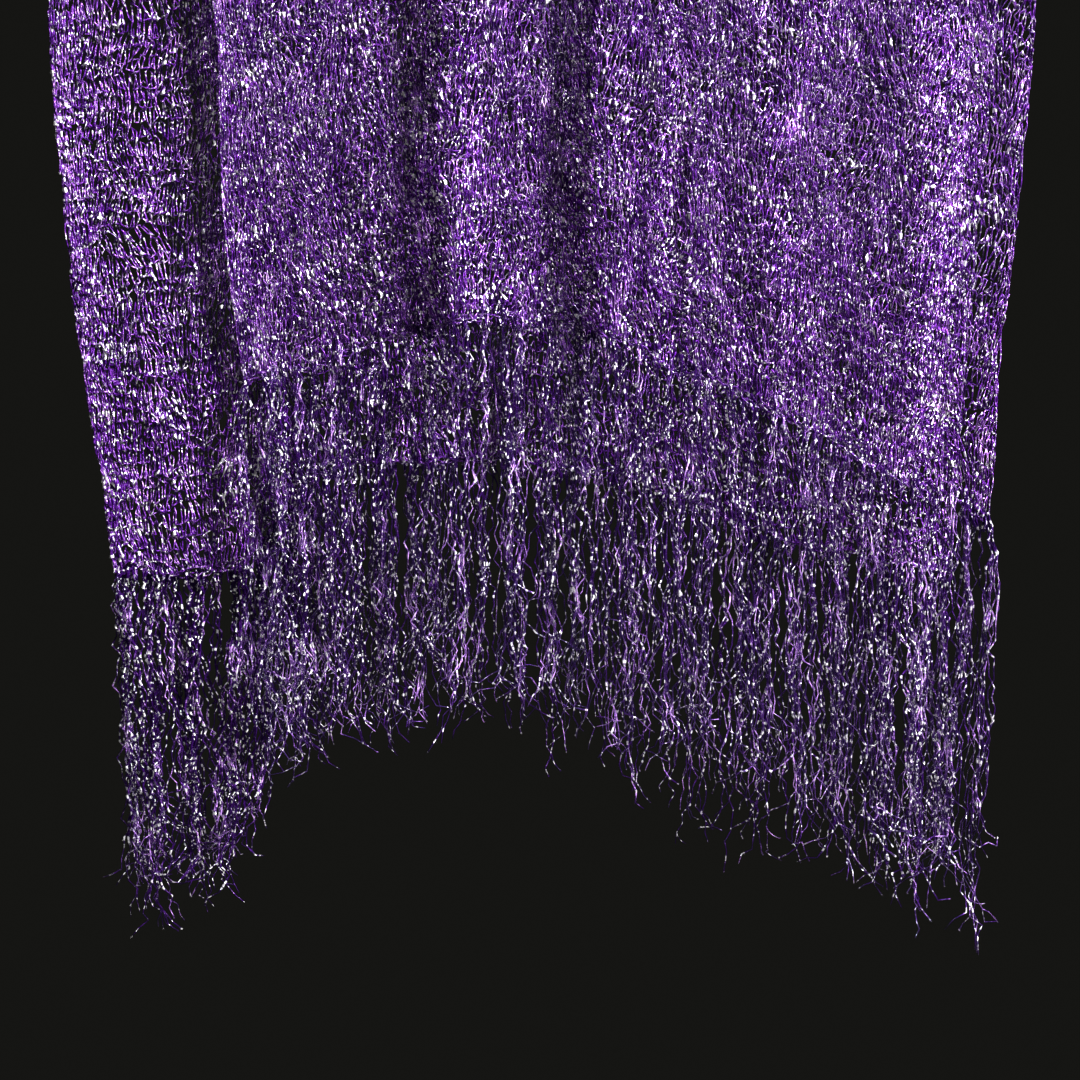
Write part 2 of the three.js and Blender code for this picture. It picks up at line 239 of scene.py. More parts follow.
FRONT = Half(
    name="front",
    side=-1,
    seed=11,
    stitches=144,
    bundles=54,
    fold_size=1.0,
    deepest=35.0,
    left_edge=Profile(((0, -228), (0.4, -184), (0.76, -143), (0.9, -140), (1, -133))),
    right_edge=Profile(((0, 228), (0.4, 221), (0.71, 213), (0.82, 209), (0.92, 203), (1, 202))),
    hem=Profile(
        (
            (-133, -864), (-106, -855), (-62, -841), (-18, -833), (13, -837), (44, -848), (98, -873),
            (143, -897), (197, -922),
        )
    ),
    relief=Profile(
        (
            (-146, -0.02), (-138, -0.08), (-128, -0.12), (-118, -0.12), (-104, -0.08), (-92, -0.04),
            (-81, 0.08), (-67, 0.26), (-59, 0.38), (-49, 0.8), (-43, 1.04), (-38, 1.03), (-30, 0.76), (-20, 0.48),
            (-10, 0.28), (4, 0.18), (12, 0.24), (20, 0.7), (25, 1.0), (32, 1.0), (45, 0.84),
            (52, 0.9), (61, 0.68), (68, 0.82), (100, 0.74), (130, 0.54), (140, 0.54), (149, 0.64),
            (156, 0.62), (166, 0.58), (176, 0.5), (184, 0.38), (190, 0.3), (198, 0.38), (208, 0.44), (214, 0.42),
        )
    ),
    relief_ends=(-146, 214),
    creases=(
        Crease(-98, -520, -760, 1.6, 5, 8),
        Crease(-116, -740, -940, -4.0, 26),
        Crease(-24, -560, -840, -1.5, 6, -6),
        Crease(0, -480, -700, 1.4, 7, 5),
        Crease(92, -600, -870, 1.8, 8, 26),
        Crease(112, -380, -690, -1.6, 8, 12),
        Crease(160, -620, -900, 1.5, 6, 6),
        Crease(-150, -190, -470, -1.6, 9, 40),
        Crease(150, -180, -420, -1.8, 10, -26),
        Crease(52, -250, -520, 1.5, 9, -10),
    ),
    strand_length=Profile(((-133, 192), (-90, 186), (-20, 192), (60, 190), (130, 184), (197, 190))),
    strand_drift=Profile(((-133, 0), (-90, 2), (-20, -3), (60, 2), (130, 1), (197, -3))),
    crowd=Profile(((0, 8), (0.12, 7), (0.3, 5.5), (0.6, 5), (0.85, 6), (1, 7))),
)

BACK = Half(
    name="back",
    side=1,
    seed=29,
    stitches=156,
    bundles=84,
    fold_size=0.82,
    deepest=27.5,
    left_edge=Profile(((0, -228), (0.4, -225), (0.68, -220), (0.84, -213), (0.95, -203), (1, -198))),
    right_edge=Profile(((0, 228), (0.4, 217), (0.7, 205), (0.9, 196), (1, 194))),
    hem=Profile(
        (
            (-198, -949), (-150, -950), (-136, -944), (-108, -908), (-90, -901), (-40, -899),
            (0, -902), (47, -909), (96, -930), (135, -941), (194, -952),
        )
    ),
    relief=Profile(
        (
            (-222, 0.05), (-205, 0.16), (-190, 0.0), (-174, -0.06), (-160, -0.26), (-140, -0.28),
            (-126, 0.0), (-112, 0.8), (-104, 1.0), (-92, 0.8), (-80, 0.4), (-68, 0.25), (-58, 0.32),
            (-48, 0.72), (-38, 1.0), (-24, 0.82), (-12, 0.35), (-2, 0.2), (8, 0.3), (20, 0.82),
            (30, 1.0), (44, 0.7), (58, 0.32), (70, 0.3), (84, 0.72), (94, 0.96), (110, 0.62),
            (122, 0.24), (134, 0.28), (150, 0.76), (162, 0.9), (180, 0.46), (194, 0.3), (214, 0.45),
        )
    ),
    relief_ends=(-222, 214),
    creases=(
        Crease(-170, -560, -900, 1.4, 6, 8),
        Crease(-96, -420, -760, 1.7, 7, 14),
        Crease(-34, -300, -640, -1.5, 8, 6),
        Crease(24, -520, -860, 1.6, 7, -8),
        Crease(84, -360, -720, -1.6, 8, -12),
        Crease(140, -560, -900, 1.5, 7, -6),
        Crease(-140, -180, -430, -1.8, 10, 26),
        Crease(150, -180, -430, 1.7, 10, -28),
    ),
    strand_length=Profile(
        (
            (-198, 170), (-150, 164), (-132, 152), (-114, 124), (-80, 134),
            (0, 142), (60, 156), (110, 164), (194, 184),
        )
    ),
    strand_drift=Profile(
        ((-198, 5), (-150, -2), (-132, -12), (-114, 2), (-80, 0), (0, 2), (60, 1), (110, 2), (194, 2))
    ),
    crowd=Profile(((0, 8), (0.13, 8), (0.22, 4), (0.4, 2.4), (0.75, 2.4), (1, 4))),
)


@dataclass
class Drape:
    """Where every thread of one half of the cloth hangs.

    across runs over the cloth from 0 to 1 along a course, and down from 0 at the fold over the
    hanger to 1 at the hem. All lengths are millimetres. wander moves the folds aside above the hem,
    and the cockles are the cloth's own unevenness.
    """

    half: Half
    hanger: HangerForm = field(default_factory=HangerForm)
    cut_width: float = 480.0
    cut_length: float = 800.0
    fold_height: Profile = Profile(((0, 0), (0.1, 3), (0.3, 10), (0.55, 17), (0.75, 20), (1, 19.5)))
    wander: Swell = Swell(7.0, (2.2, 2.5), 31)
    cockle: Swell = Swell(0.45, (1 / 38, 1 / 120), 0)
    fine_cockle: Swell = Swell(0.25, (1 / 16, 1 / 60), 1)
    crease_fade: float = 0.3
    proud: float = 0.9
    smooth_top: float = 80.0
    wall: float = 1.6
    gap: float = 0.3
    overhang_side: float = 13.0
    overhang_drop: float = 14.0
    steps: int = 480
    columns: int = 260
    hanging_rows: int = 120
    crest_rows: int = 6

    def __post_init__(self) -> None:
        """Works out the grid of points that every piece of this half is laid on."""
        self.curl = self.hanger.thick / 2 + self.gap + self.wall / 2
        self.ridge_top = self.hanger.top + self.gap + self.wall / 2
        self.ridge_half = self.hanger.half + self.overhang_side
        self.crest_share = 0.5 * math.pi * self.curl / abs(self.half.hem.at(0.0) - self.ridge_top)
        hanging = np.linspace(0, 1, self.hanging_rows)
        rows = self._spaced(self._gathered(hanging))
        rows[:, :, 1] += self.half.side * self._relief(rows)
        crest = self._crest(rows[0])
        self.grid = np.concatenate([crest, rows])
        crest_levels = np.linspace(0, 1, self.crest_rows, endpoint=False) * self.crest_share
        self.levels = np.concatenate([crest_levels, self.crest_share + hanging * (1 - self.crest_share)])
        self.normals = self._normals()

    def _ridge(self, x: np.ndarray) -> np.ndarray:
        """Returns the height of the cloth's ridge at x."""
        past = np.maximum(0, np.abs(x) - self.hanger.half)
        return self.ridge_top - self.hanger.arm_drop(x) - past * self.overhang_drop / self.overhang_side

    def _gathered(self, down: np.ndarray) -> np.ndarray:
        """Courses whose folds take up the width that the net has at each height.

        Args:
            down: the courses' shares of the drop.

        Returns:
            Points, one row for each course.
        """
        half = self.half
        share = np.linspace(0, 1, self.steps + 1)
        left, right = half.left_edge.at(down)[:, None], half.right_edge.at(down)[:, None]
        x = left + (right - left) * share
        ends = half.left_edge.at(1.0), half.right_edge.at(1.0)
        top = self._ridge(self.ridge_half * (2 * share - 1)) - self.curl
        hem = half.hem.at(ends[0] + (ends[1] - ends[0]) * share)
        z = top + (hem - top) * down[:, None]
        place = half.relief_ends[0] + (half.relief_ends[1] - half.relief_ends[0]) * share
        wander = self.wander.at(share, down[:, None], half.seed) * (1 - down[:, None])
        standing = half.relief.at(place + wander)
        y = half.side * (self.curl + half.fold_size * self.fold_height.at(down)[:, None] * standing)
        return np.stack([x, y, z], axis=2)

    def _spaced(self, courses: np.ndarray) -> np.ndarray:
        """Returns the courses with their points at equal steps along the yarn."""
        spaced = []
        for course in courses:
            walked = np.concatenate([[0], np.linalg.norm(np.diff(course, axis=0), axis=1).cumsum()])
            stops = np.linspace(0, walked[-1], self.columns + 1)
            spaced.append(np.stack([np.interp(stops, walked, course[:, k]) for k in range(3)], axis=1))
        return np.array(spaced)

    def _relief(self, rows: np.ndarray) -> np.ndarray:
        """Returns how far the creases and the cloth's own unevenness stand out at each point."""
        x, z = rows[:, :, 0], rows[:, :, 2]
        seed, fade = self.half.seed, self.crease_fade
        total = self.cockle.at(x, z, seed) + self.fine_cockle.at(x, z, seed)
        for crease in self.half.creases:
            share = (crease.top - z) / (crease.top - crease.bottom)
            along = smooth_step(0, fade, share) * (1 - smooth_step(1 - fade, 1, share))
            away = (x - crease.x - crease.lean * (share - 0.5)) / crease.run
            total += crease.lift * along * np.exp(-(away**2))
        below_ridge = smooth_step(0, self.smooth_top, self._ridge(x) - self.curl - z)
        return total * below_ridge + self.proud * below_ridge

    def _crest(self, ridge: np.ndarray) -> np.ndarray:
        """Returns rows of points from the fold's top down to the first hanging course."""
        start = math.asin(self.gap / 2 / self.curl)
        angles = np.linspace(start, math.pi / 2, self.crest_rows, endpoint=False)
        rows = np.repeat(ridge[None], self.crest_rows, axis=0)
        rows[:, :, 1] = self.half.side * self.curl * np.sin(angles)[:, None]
        rows[:, :, 2] += self.curl * np.cos(angles)[:, None]
        return rows

    def _normals(self) -> np.ndarray:
        """Returns directions that point out of the cloth, away from the hanger."""
        across = np.gradient(self.grid, axis=1)
        down = np.gradient(self.grid, axis=0)
        normals = np.cross(across, down) * -self.half.side
        up = np.array([0, self.half.side * 0.8, 0.6])
        normals *= np.where((normals @ up)[..., None] < 0, -1, 1)
        return unit(normals)

    def _read(self, table: np.ndarray, across: np.ndarray, down: np.ndarray) -> np.ndarray:
        """Reads a table between its grid's points."""
        c = np.clip(np.asarray(across, float), 0, 1) * self.columns
        r = np.interp(np.clip(down, 0, 1), self.levels, np.arange(len(self.levels)))
        c0 = np.minimum(c.astype(int), self.columns - 1)
        r0 = np.minimum(r.astype(int), len(self.levels) - 2)
        fc, fr = (c - c0)[..., None], (r - r0)[..., None]
        upper = table[r0, c0] * (1 - fc) + table[r0, c0 + 1] * fc
        lower = table[r0 + 1, c0] * (1 - fc) + table[r0 + 1, c0 + 1] * fc
        return upper * (1 - fr) + lower * fr

    def point(self, across: np.ndarray, down: np.ndarray, out: np.ndarray | float = 0.0) -> np.ndarray:
        """Finds places on the cloth.

        Args:
            across: shares of the width.
            down: shares of the length.
            out: how far the places stand off the middle of the wall.

        Returns:
            Points in millimetres.
        """
        normal = unit(self._read(self.normals, across, down))
        return self._read(self.grid, across, down) + normal * np.asarray(out)[..., None]

    def normal(self, across: np.ndarray, down: np.ndarray) -> np.ndarray:
        """Returns the outward directions at places on the cloth."""
        return self._read(self.normals, across, down)


# Meshes of yarn


@dataclass
class YarnBatch:
    """Lines of yarn that become one mesh: three-sided tubes, with the length along the yarn, the
    turn round it and the place on the cloth kept for the material."""

    sides: int = 3
    sharpest: float = 0.3
    parts: list[tuple[np.ndarray, ...]] = field(default_factory=list)

    def add(
        self,
        lines: np.ndarray,
        facing: np.ndarray,
        radius: np.ndarray | float,
        place: np.ndarray,
        slub: np.ndarray | float = 0.0,
    ) -> None:
        """Adds lines that all have the same number of points.

        Args:
            lines: points, one row for each line, in millimetres.
            facing: the direction that each tube's first edge faces.
            radius: the yarn's radius at each point.
            place: two numbers for each point that say where on the cloth it is, and a third that
                tells lines apart.
            slub: 1 where the point is a silver slub.
        """
        shape = lines.shape[:2]
        radii = np.broadcast_to(np.asarray(radius, float), shape)
        faces = np.broadcast_to(facing, lines.shape)
        slubs = np.broadcast_to(np.asarray(slub, float), shape)
        self.parts.append((lines, faces, radii, np.broadcast_to(place, lines.shape), slubs))

    def _rings(self, lines: np.ndarray, facing: np.ndarray, radii: np.ndarray) -> np.ndarray:
        """Gives the rings of points round each line, mitred where the yarn turns.

        Args:
            lines: points, one row for each line.
            facing: the direction that each ring's first point faces.
            radii: the yarn's radius at each point.

        Returns:
            The points of each line's rings.
        """
        ways = unit(np.diff(lines, axis=1))
        before = np.concatenate([ways[:, :1], ways], axis=1)
        after = np.concatenate([ways, ways[:, -1:]], axis=1)
        half_turn = np.linalg.norm(before + after, axis=2, keepdims=True) / 2
        ahead, inward = unit(before + after), unit(before - after)
        across = unit(np.cross(ahead, facing))
        out = np.cross(across, ahead)
        turn = (2 * math.pi * np.arange(self.sides) / self.sides)[:, None]
        ring = out[:, :, None] * np.cos(turn) + across[:, :, None] * np.sin(turn)
        ring = ring * radii[:, :, None, None]
        reach = (ring * inward[:, :, None]).sum(axis=3, keepdims=True)
        stretch = 1 / np.maximum(half_turn, self.sharpest) - 1
        ring = ring + inward[:, :, None] * reach * stretch[:, :, None]
        return lines[:, :, None] + ring

    def build(self, name: str, material: bpy.types.Material) -> bpy.types.Object:
        """Makes the mesh.

        Args:
            name: the piece's name.
            material: its finish.

        Returns:
            The new object, at the origin, in metres.
        """
        points, quads, triangles, turns, places, silver = [], [], [], [], [], []
        start = 0
        for lines, facing, radii, place, slubs in self.parts:
            count, length = lines.shape[:2]
            step = np.linalg.norm(np.diff(lines, axis=1), axis=2)
            points.append(self._rings(lines, facing, radii).reshape(-1, 3))
            places.append(np.repeat(place.reshape(-1, 3), self.sides, axis=0))
            silver.append(np.repeat(slubs.reshape(-1), self.sides))
            length_along = np.concatenate([np.zeros((count, 1)), step.cumsum(1)], axis=1)
            line, stop, side = np.meshgrid(
                np.arange(count), np.arange(length - 1), np.arange(self.sides), indexing="ij"
            )
            ring_start = start + (line * length + stop) * self.sides
            following = (side + 1) % self.sides
            ahead_ring = ring_start + self.sides
            edges = [ring_start + side, ahead_ring + side, ahead_ring + following, ring_start + following]
            quads.append(np.stack(edges, -1).reshape(-1, 4))
            u0, u1 = length_along[line, stop], length_along[line, stop + 1]
            v0, v1 = side / self.sides, (side + 1) / self.sides
            corners = [np.stack(pair, -1) for pair in ((u0, v0), (u1, v0), (u1, v1), (u0, v1))]
            turns.append(np.stack(corners, axis=-2).reshape(-1, 2))
            first = start + np.arange(count) * length * self.sides
            last = first + (length - 1) * self.sides
            for k in range(1, self.sides - 1):
                triangles.append(np.stack([first, first + k, first + k + 1], 1))
                triangles.append(np.stack([last, last + k + 1, last + k], 1))
            start += count * length * self.sides
        return self._mesh(
            name, material, np.concatenate(points) * MM, np.concatenate(quads), np.concatenate(triangles),
            np.concatenate(turns), np.concatenate(places), np.concatenate(silver),
        )

    @staticmethod
    def _mesh(
        name: str,
        material: bpy.types.Material,
        points: np.ndarray,
        quads: np.ndarray,
        triangles: np.ndarray,
        turns: np.ndarray,
        places: np.ndarray,
        silver: np.ndarray,
    ) -> bpy.types.Object:
        """Returns an object made of the points and faces, with its yarn map, places and slubs."""
        mesh = bpy.data.meshes.new(name)
        corners = np.concatenate([quads.ravel(), triangles.ravel()])
        sizes = np.concatenate([np.full(len(quads), 4), np.full(len(triangles), 3)])
        starts = np.concatenate([[0], sizes.cumsum()[:-1]])
        mesh.vertices.add(len(points))
        mesh.vertices.foreach_set("co", points.astype(np.float32).ravel())
        mesh.loops.add(len(corners))
        mesh.loops.foreach_set("vertex_index", corners.astype(np.int32))
        mesh.polygons.add(len(sizes))
        mesh.polygons.foreach_set("loop_start", starts.astype(np.int32))
        mesh.polygons.foreach_set("use_smooth", np.ones(len(sizes), bool))
        layer = mesh.uv_layers.new(name="yarn")
        uv = np.zeros((len(corners), 2), np.float32)
        uv[: len(turns)] = turns
        layer.data.foreach_set("uv", uv.ravel())
        attribute = mesh.attributes.new("place", "FLOAT_VECTOR", "POINT")
        attribute.data.foreach_set("vector", places.astype(np.float32).ravel())
        attribute = mesh.attributes.new("slub", "FLOAT", "POINT")
        attribute.data.foreach_set("value", silver.astype(np.float32))
        mesh.update()
        mesh.validate()
        mesh.materials.append(material)
        made = bpy.data.objects.new(name, mesh)
        bpy.context.scene.collection.objects.link(made)
        return made


# Shader maths


class Wire:
    """A shader socket that takes part in sums."""

    def __init__(self, shader: "Shader", socket: bpy.types.NodeSocket) -> None:
        """Wraps one output socket of a shader's node."""
        self.shader = shader
        self.socket = socket

    def _sum(self, operation: str, *values: Any) -> "Wire":
        """Returns the result of a Math node."""
        return self.shader.node(
            "ShaderNodeMath", {"operation": operation}, dict(enumerate(values)), output="Value"
        )

    def __add__(self, other: Any) -> "Wire":
        """Adds."""
        return self._sum("ADD", self, other)

    __radd__ = __add__

    def __mul__(self, other: Any) -> "Wire":
        """Multiplies."""
        return self._sum("MULTIPLY", self, other)

    __rmul__ = __mul__

    def __sub__(self, other: Any) -> "Wire":
        """Subtracts."""
        return self._sum("SUBTRACT", self, other)

    def __rsub__(self, other: Any) -> "Wire":
        """Subtracts from a number."""
        return self._sum("SUBTRACT", other, self)

    def __truediv__(self, other: Any) -> "Wire":
        """Divides."""
        return self._sum("DIVIDE", self, other)

    def __pow__(self, other: Any) -> "Wire":
        """Raises to a power."""
        return self._sum("POWER", self, other)

    def sine(self) -> "Wire":
        """Returns the sine."""
        return self._sum("SINE", self)

    def floor(self) -> "Wire":
        """Returns the whole part."""
        return self._sum("FLOOR", self)

    def fraction(self) -> "Wire":
        """Returns the part after the point."""
        return self._sum("FRACT", self)

    def above(self, other: Any) -> "Wire":
        """Returns 1 where this is the greater, and 0 elsewhere."""
        return self._sum("GREATER_THAN", self, other)

    def at_most(self, other: Any) -> "Wire":
        """Returns the lesser of the two."""
        return self._sum("MINIMUM", self, other)

    def ramp(self, low: float, high: float) -> "Wire":
        """Returns 0 below low, 1 above high and a soft rise between them."""
        inputs = {"Value": self, "From Min": low, "From Max": high}
        return self.shader.node("ShaderNodeMapRange", {"interpolation_type": "SMOOTHSTEP"}, inputs, "Result")


class Shader:
    """A material that is built node by node."""

    def __init__(self, name: str) -> None:
        """Starts an empty material."""
        self.material = bpy.data.materials.new(name)
        self.material.use_nodes = True
        self.tree = self.material.node_tree
        self.tree.nodes.clear()

    def node(
        self,
        kind: str,
        settings: dict[str, Any] | None = None,
        inputs: dict[str | int, Any] | None = None,
        output: str | int = 0,
    ) -> Wire:
        """Adds a node.

        Args:
            kind: the node's type.
            settings: its properties, which are set first.
            inputs: values or wires for its sockets, by name, identifier or number.
            output: which of its outputs to return.

        Returns:
            That output.
        """
        made = self.tree.nodes.new(kind)
        for key, value in (settings or {}).items():
            setattr(made, key, value)
        for key, value in (inputs or {}).items():
            socket = self._find(made.inputs, key)
            if isinstance(value, Wire):
                self.tree.links.new(value.socket, socket)
            else:
                socket.default_value = value
        return Wire(self, self._find(made.outputs, output))

    @staticmethod
    def _find(sockets: Iterable[bpy.types.NodeSocket], key: str | int) -> bpy.types.NodeSocket:
        """Returns the socket with that number, identifier or name."""
        if isinstance(key, int):
            return list(sockets)[key]
        for socket in sockets:
            if socket.identifier == key:
                return socket
        return next(socket for socket in sockets if socket.name == key and socket.enabled)

    def attribute(self, name: str, output: str) -> Wire:
        """Returns a value kept on the mesh's points."""
        return self.node("ShaderNodeAttribute", {"attribute_name": name}, output=output)

    def parts(self, vector: Wire) -> tuple[Wire, Wire, Wire]:
        """Returns the three numbers of a vector."""
        x = self.node("ShaderNodeSeparateXYZ", inputs={"Vector": vector}, output="X")
        node = x.socket.node
        return x, Wire(self, node.outputs["Y"]), Wire(self, node.outputs["Z"])

    def vector(self, x: Any, y: Any, z: Any = 0.0) -> Wire:
        """Returns a vector of three numbers."""
        return self.node("ShaderNodeCombineXYZ", inputs={"X": x, "Y": y, "Z": z}, output="Vector")

    def noise(self, vector: Wire, scale: float, detail: float = 2.0, rough: float = 0.5) -> Wire:
        """Returns soft noise from 0 to 1."""
        inputs = {"Vector": vector, "Scale": scale, "Detail": detail, "Roughness": rough}
        return self.node("ShaderNodeTexNoise", inputs=inputs, output=0)

    def speckle(self, vector: Wire) -> Wire:
        """Returns an even scatter from 0 to 1, one number for each whole place."""
        return self.node("ShaderNodeTexWhiteNoise", {"noise_dimensions": "3D"}, {"Vector": vector}, "Value")

    def mix(self, share: Any, first: Any, second: Any) -> Wire:
        """Returns a colour between two colours."""
        inputs = {"Factor_Float": share, "A_Color": first, "B_Color": second}
        return self.node("ShaderNodeMix", {"data_type": "RGBA"}, inputs, "Result_Color")

    def bump(self, height: Wire, distance: float, strength: float = 1.0) -> Wire:
        """Returns a normal that follows a height in metres."""
        inputs = {"Height": height, "Distance": distance, "Strength": strength}
        return self.node("ShaderNodeBump", inputs=inputs, output="Normal")

    def finish(self, **inputs: Any) -> bpy.types.Material:
        """Ends the material with one Principled shader.

        Args:
            inputs: its sockets, with underscores for spaces.

        Returns:
            The material.
        """
        named = {key.replace("_", " "): value for key, value in inputs.items()}
        surface = self.node("ShaderNodeBsdfPrincipled", inputs=named, output="BSDF")
        end = self.tree.nodes.new("ShaderNodeOutputMaterial")
        self.tree.links.new(surface.socket, end.inputs["Surface"])
        return self.material


# Finishes


Colour = tuple[float, float, float, float]


@dataclass(frozen=True)
class Pattern:
    """Soft noise: its paces along up to three coordinates, its detail and its roughness."""

    paces: tuple[float, ...]
    detail: float
    rough: float

    def on(self, shader: Shader, *places: Wire) -> Wire:
        """Returns the noise at the places."""
        paced = (place * pace for place, pace in zip(places, self.paces))
        return shader.noise(shader.vector(*paced), 1.0, self.detail, self.rough)


@dataclass(frozen=True)
class YarnFinish:
    """Purple yarn of loose plies with silver beads, whose lengths are millimetres.

    The plies, the fluff, the uneven tone and its patches add up to a height, which goes from deep
    through body to light. deep is painted shade in the grooves between the plies and in the low
    spots, light is a painted highlight on the plies' crests and the high spots, and body is the
    yarn's dye. Beads and glints are silver, and the beads come in clusters.
    """

    name: str
    # deep is a painted shade colour and light a painted highlight colour; body is the dye.
    deep: Colour
    body: Colour
    light: Colour
    silver: Colour = (0.95, 0.93, 0.96, 1)
    edge: Colour = (0.5, 0.16, 0.85, 1)
    ply_pitch: float = 5.0
    plies: float = 2.0
    ply_height: float = 0.4
    fibres: Pattern = Pattern((1.1, 5.0, 1.0), 3.0, 0.75)
    fluff: float = 4.6
    tones: Pattern = Pattern((0.09, 0.09, 0.7), 3.0, 0.6)
    uneven: float = 2.0
    patches: Pattern = Pattern((0.1, 0.035), 2.0, 0.5)
    patch: float = 1.4
    # shade lowers the height everywhere, so more of the yarn takes the painted shade colour.
    shade: float = 0.1
    painted_shade_to_body: tuple[float, float] = (-0.5, 0.75)
    painted_highlight_between: tuple[float, float] = (0.42, 1.05)
    bead_pitch: float = 2.4
    bead_share: float = 0.2
    beat_shift: float = 0.37
    clusters: Pattern = Pattern((0.03, 0.2), 3.0, 0.65)
    cluster_between: tuple[float, float] = (0.5, 0.68)
    few_beads: float = 0.08
    many_beads: float = 0.66
    bead_edges: Pattern = Pattern((1.5, 5.0, 1.0), 2.0, 0.6)
    bead_ragged: float = 0.4
    bead_from: float = 0.75
    bead_soft: float = 0.08
    bead_height: float = 0.8
    glint_length: float = 0.7
    glints_round: float = 3.0
    glints: float = 0.05
    sheen: float = 0.55
    dull: float = 0.44
    polish: float = 0.18
    gloss: float = 0.12
    bump_depth: float = 0.0002
    bump_strength: float = 0.8

    def material(self) -> bpy.types.Material:
        """Returns the yarn's material."""
        shader = Shader(self.name)
        along, turn, _ = shader.parts(shader.node("ShaderNodeUVMap", {"uv_map": "yarn"}, output="UV"))
        column, row, line = shader.parts(shader.attribute("place", "Vector"))
        slub = shader.attribute("slub", "Fac")
        ply = (along * (2 * math.pi / self.ply_pitch) + turn * (2 * math.pi * self.plies) + line).sine()
        fibre = self.fibres.on(shader, along, turn, line) - 0.5
        tone = self.tones.on(shader, column, row, line) - 0.5
        patch = self.patches.on(shader, column, row) - 0.5
        height = ply * self.ply_height + fibre * self.fluff + tone * self.uneven
        height = height + patch * self.patch - self.shade
        # Painted shade in the grooves and low spots, then a painted highlight on the crests, over the dye.
        dye_and_painted_shading = shader.mix(height.ramp(*self.painted_shade_to_body), self.deep, self.body)
        dye_and_painted_shading = shader.mix(height.ramp(*self.painted_highlight_between), dye_and_painted_shading, self.light)
        cluster = self.clusters.on(shader, column, row).ramp(*self.cluster_between)
        wanted = cluster * (self.many_beads - self.few_beads) + self.few_beads
        beat = along / self.bead_pitch + line * self.beat_shift
        chosen = (wanted - shader.speckle(shader.vector(beat.floor(), 0.0, line))).above(0.0)
        off_middle = ((beat.fraction() - 0.5) ** 2.0) ** 0.5
        middle = (self.bead_share - off_middle).above(0.0)
        cell = shader.vector((along / self.glint_length).floor(), (turn * self.glints_round).floor(), line)
        glint = (self.glints - shader.speckle(cell)).above(0.0)
        ragged = (self.bead_edges.on(shader, along, turn, line) - 0.5) * self.bead_ragged
        bead = (slub + ragged).ramp(self.bead_from, self.bead_from + self.bead_soft)
        metal = (bead + glint + chosen * middle).at_most(1.0)
        return shader.finish(
            Base_Color=shader.mix(metal, dye_and_painted_shading, self.silver),
            Metallic=self.sheen,
            Roughness=self.dull - metal * self.polish,
            Specular_IOR_Level=self.gloss,
            Specular_Tint=self.edge,
            Normal=shader.bump(height + metal * self.bead_height, self.bump_depth, self.bump_strength),
        )


@dataclass(frozen=True)
class WoodFinish:
    """Beech with a satin varnish, browner than it often is."""

    name: str = "beech"
    pale: Colour = (0.35, 0.19, 0.078, 1)
    dark: Colour = (0.21, 0.10, 0.036, 1)
    bands: Pattern = Pattern((6.0, 90.0, 60.0), 4.0, 0.6)
    pores: Pattern = Pattern((40.0, 900.0, 900.0), 2.0, 0.7)
    pore_share: float = 0.5
    grain_between: tuple[float, float] = (0.3, 0.75)
    dull: float = 0.42
    polish: float = 0.1

    def material(self) -> bpy.types.Material:
        """Returns the wood's material, its grain along the arms."""
        shader = Shader(self.name)
        place = shader.parts(shader.node("ShaderNodeTexCoord", output="Object"))
        pores = self.pores.on(shader, *place)
        grain = (self.bands.on(shader, *place) + (pores - 0.5) * self.pore_share).ramp(*self.grain_between)
        return shader.finish(
            Base_Color=shader.mix(grain, self.dark, self.pale),
            Roughness=self.dull - grain * self.polish,
            Coat_Weight=0.35,
            Coat_Roughness=0.18,
            Normal=shader.bump(pores, 0.0001, 0.35),
        )


@dataclass(frozen=True)
class SteelFinish:
    """Polished steel wire with faint drawing marks."""

    name: str = "steel_wire"
    colour: Colour = (0.62, 0.62, 0.64, 1)

    def material(self) -> bpy.types.Material:
        """Returns the wire's material."""
        shader = Shader(self.name)
        place = shader.node("ShaderNodeTexCoord", output="Object")
        marks = shader.noise(place, 900.0, 2.0, 0.6)
        wear = shader.noise(place, 60.0, 3.0, 0.6)
        return shader.finish(
            Base_Color=self.colour,
            Metallic=1.0,
            Roughness=wear * 0.18 + 0.14,
            Normal=shader.bump(marks, 0.00005, 0.25),
        )


@dataclass(frozen=True)
class FloorFinish:
    """A plain pale floor."""

    name: str = "pale_floor"
    colour: Colour = (0.30, 0.295, 0.285, 1)
    worn: Colour = (0.27, 0.265, 0.255, 1)

    def material(self) -> bpy.types.Material:
        """Returns the floor's material."""
        shader = Shader(self.name)
        place = shader.node("ShaderNodeTexCoord", output="Object")
        cloud = shader.noise(place, 3.0, 4.0, 0.6)
        return shader.finish(Base_Color=shader.mix(cloud, self.colour, self.worn), Roughness=0.7)


# The shawl


class Band(Enum):
    """A stretch of one half's net that is kept as one piece. Each value is its first and last share."""

    UPPER = (0.0, 0.36)
    MIDDLE = (0.36, 0.69)
    LOWER = (0.69, 0.85)
    HEM = (0.85, 1.0)

    @property
    def fine(self) -> bool:
        """Whether its stitches get rounded heads."""
        return self in (Band.LOWER, Band.HEM)


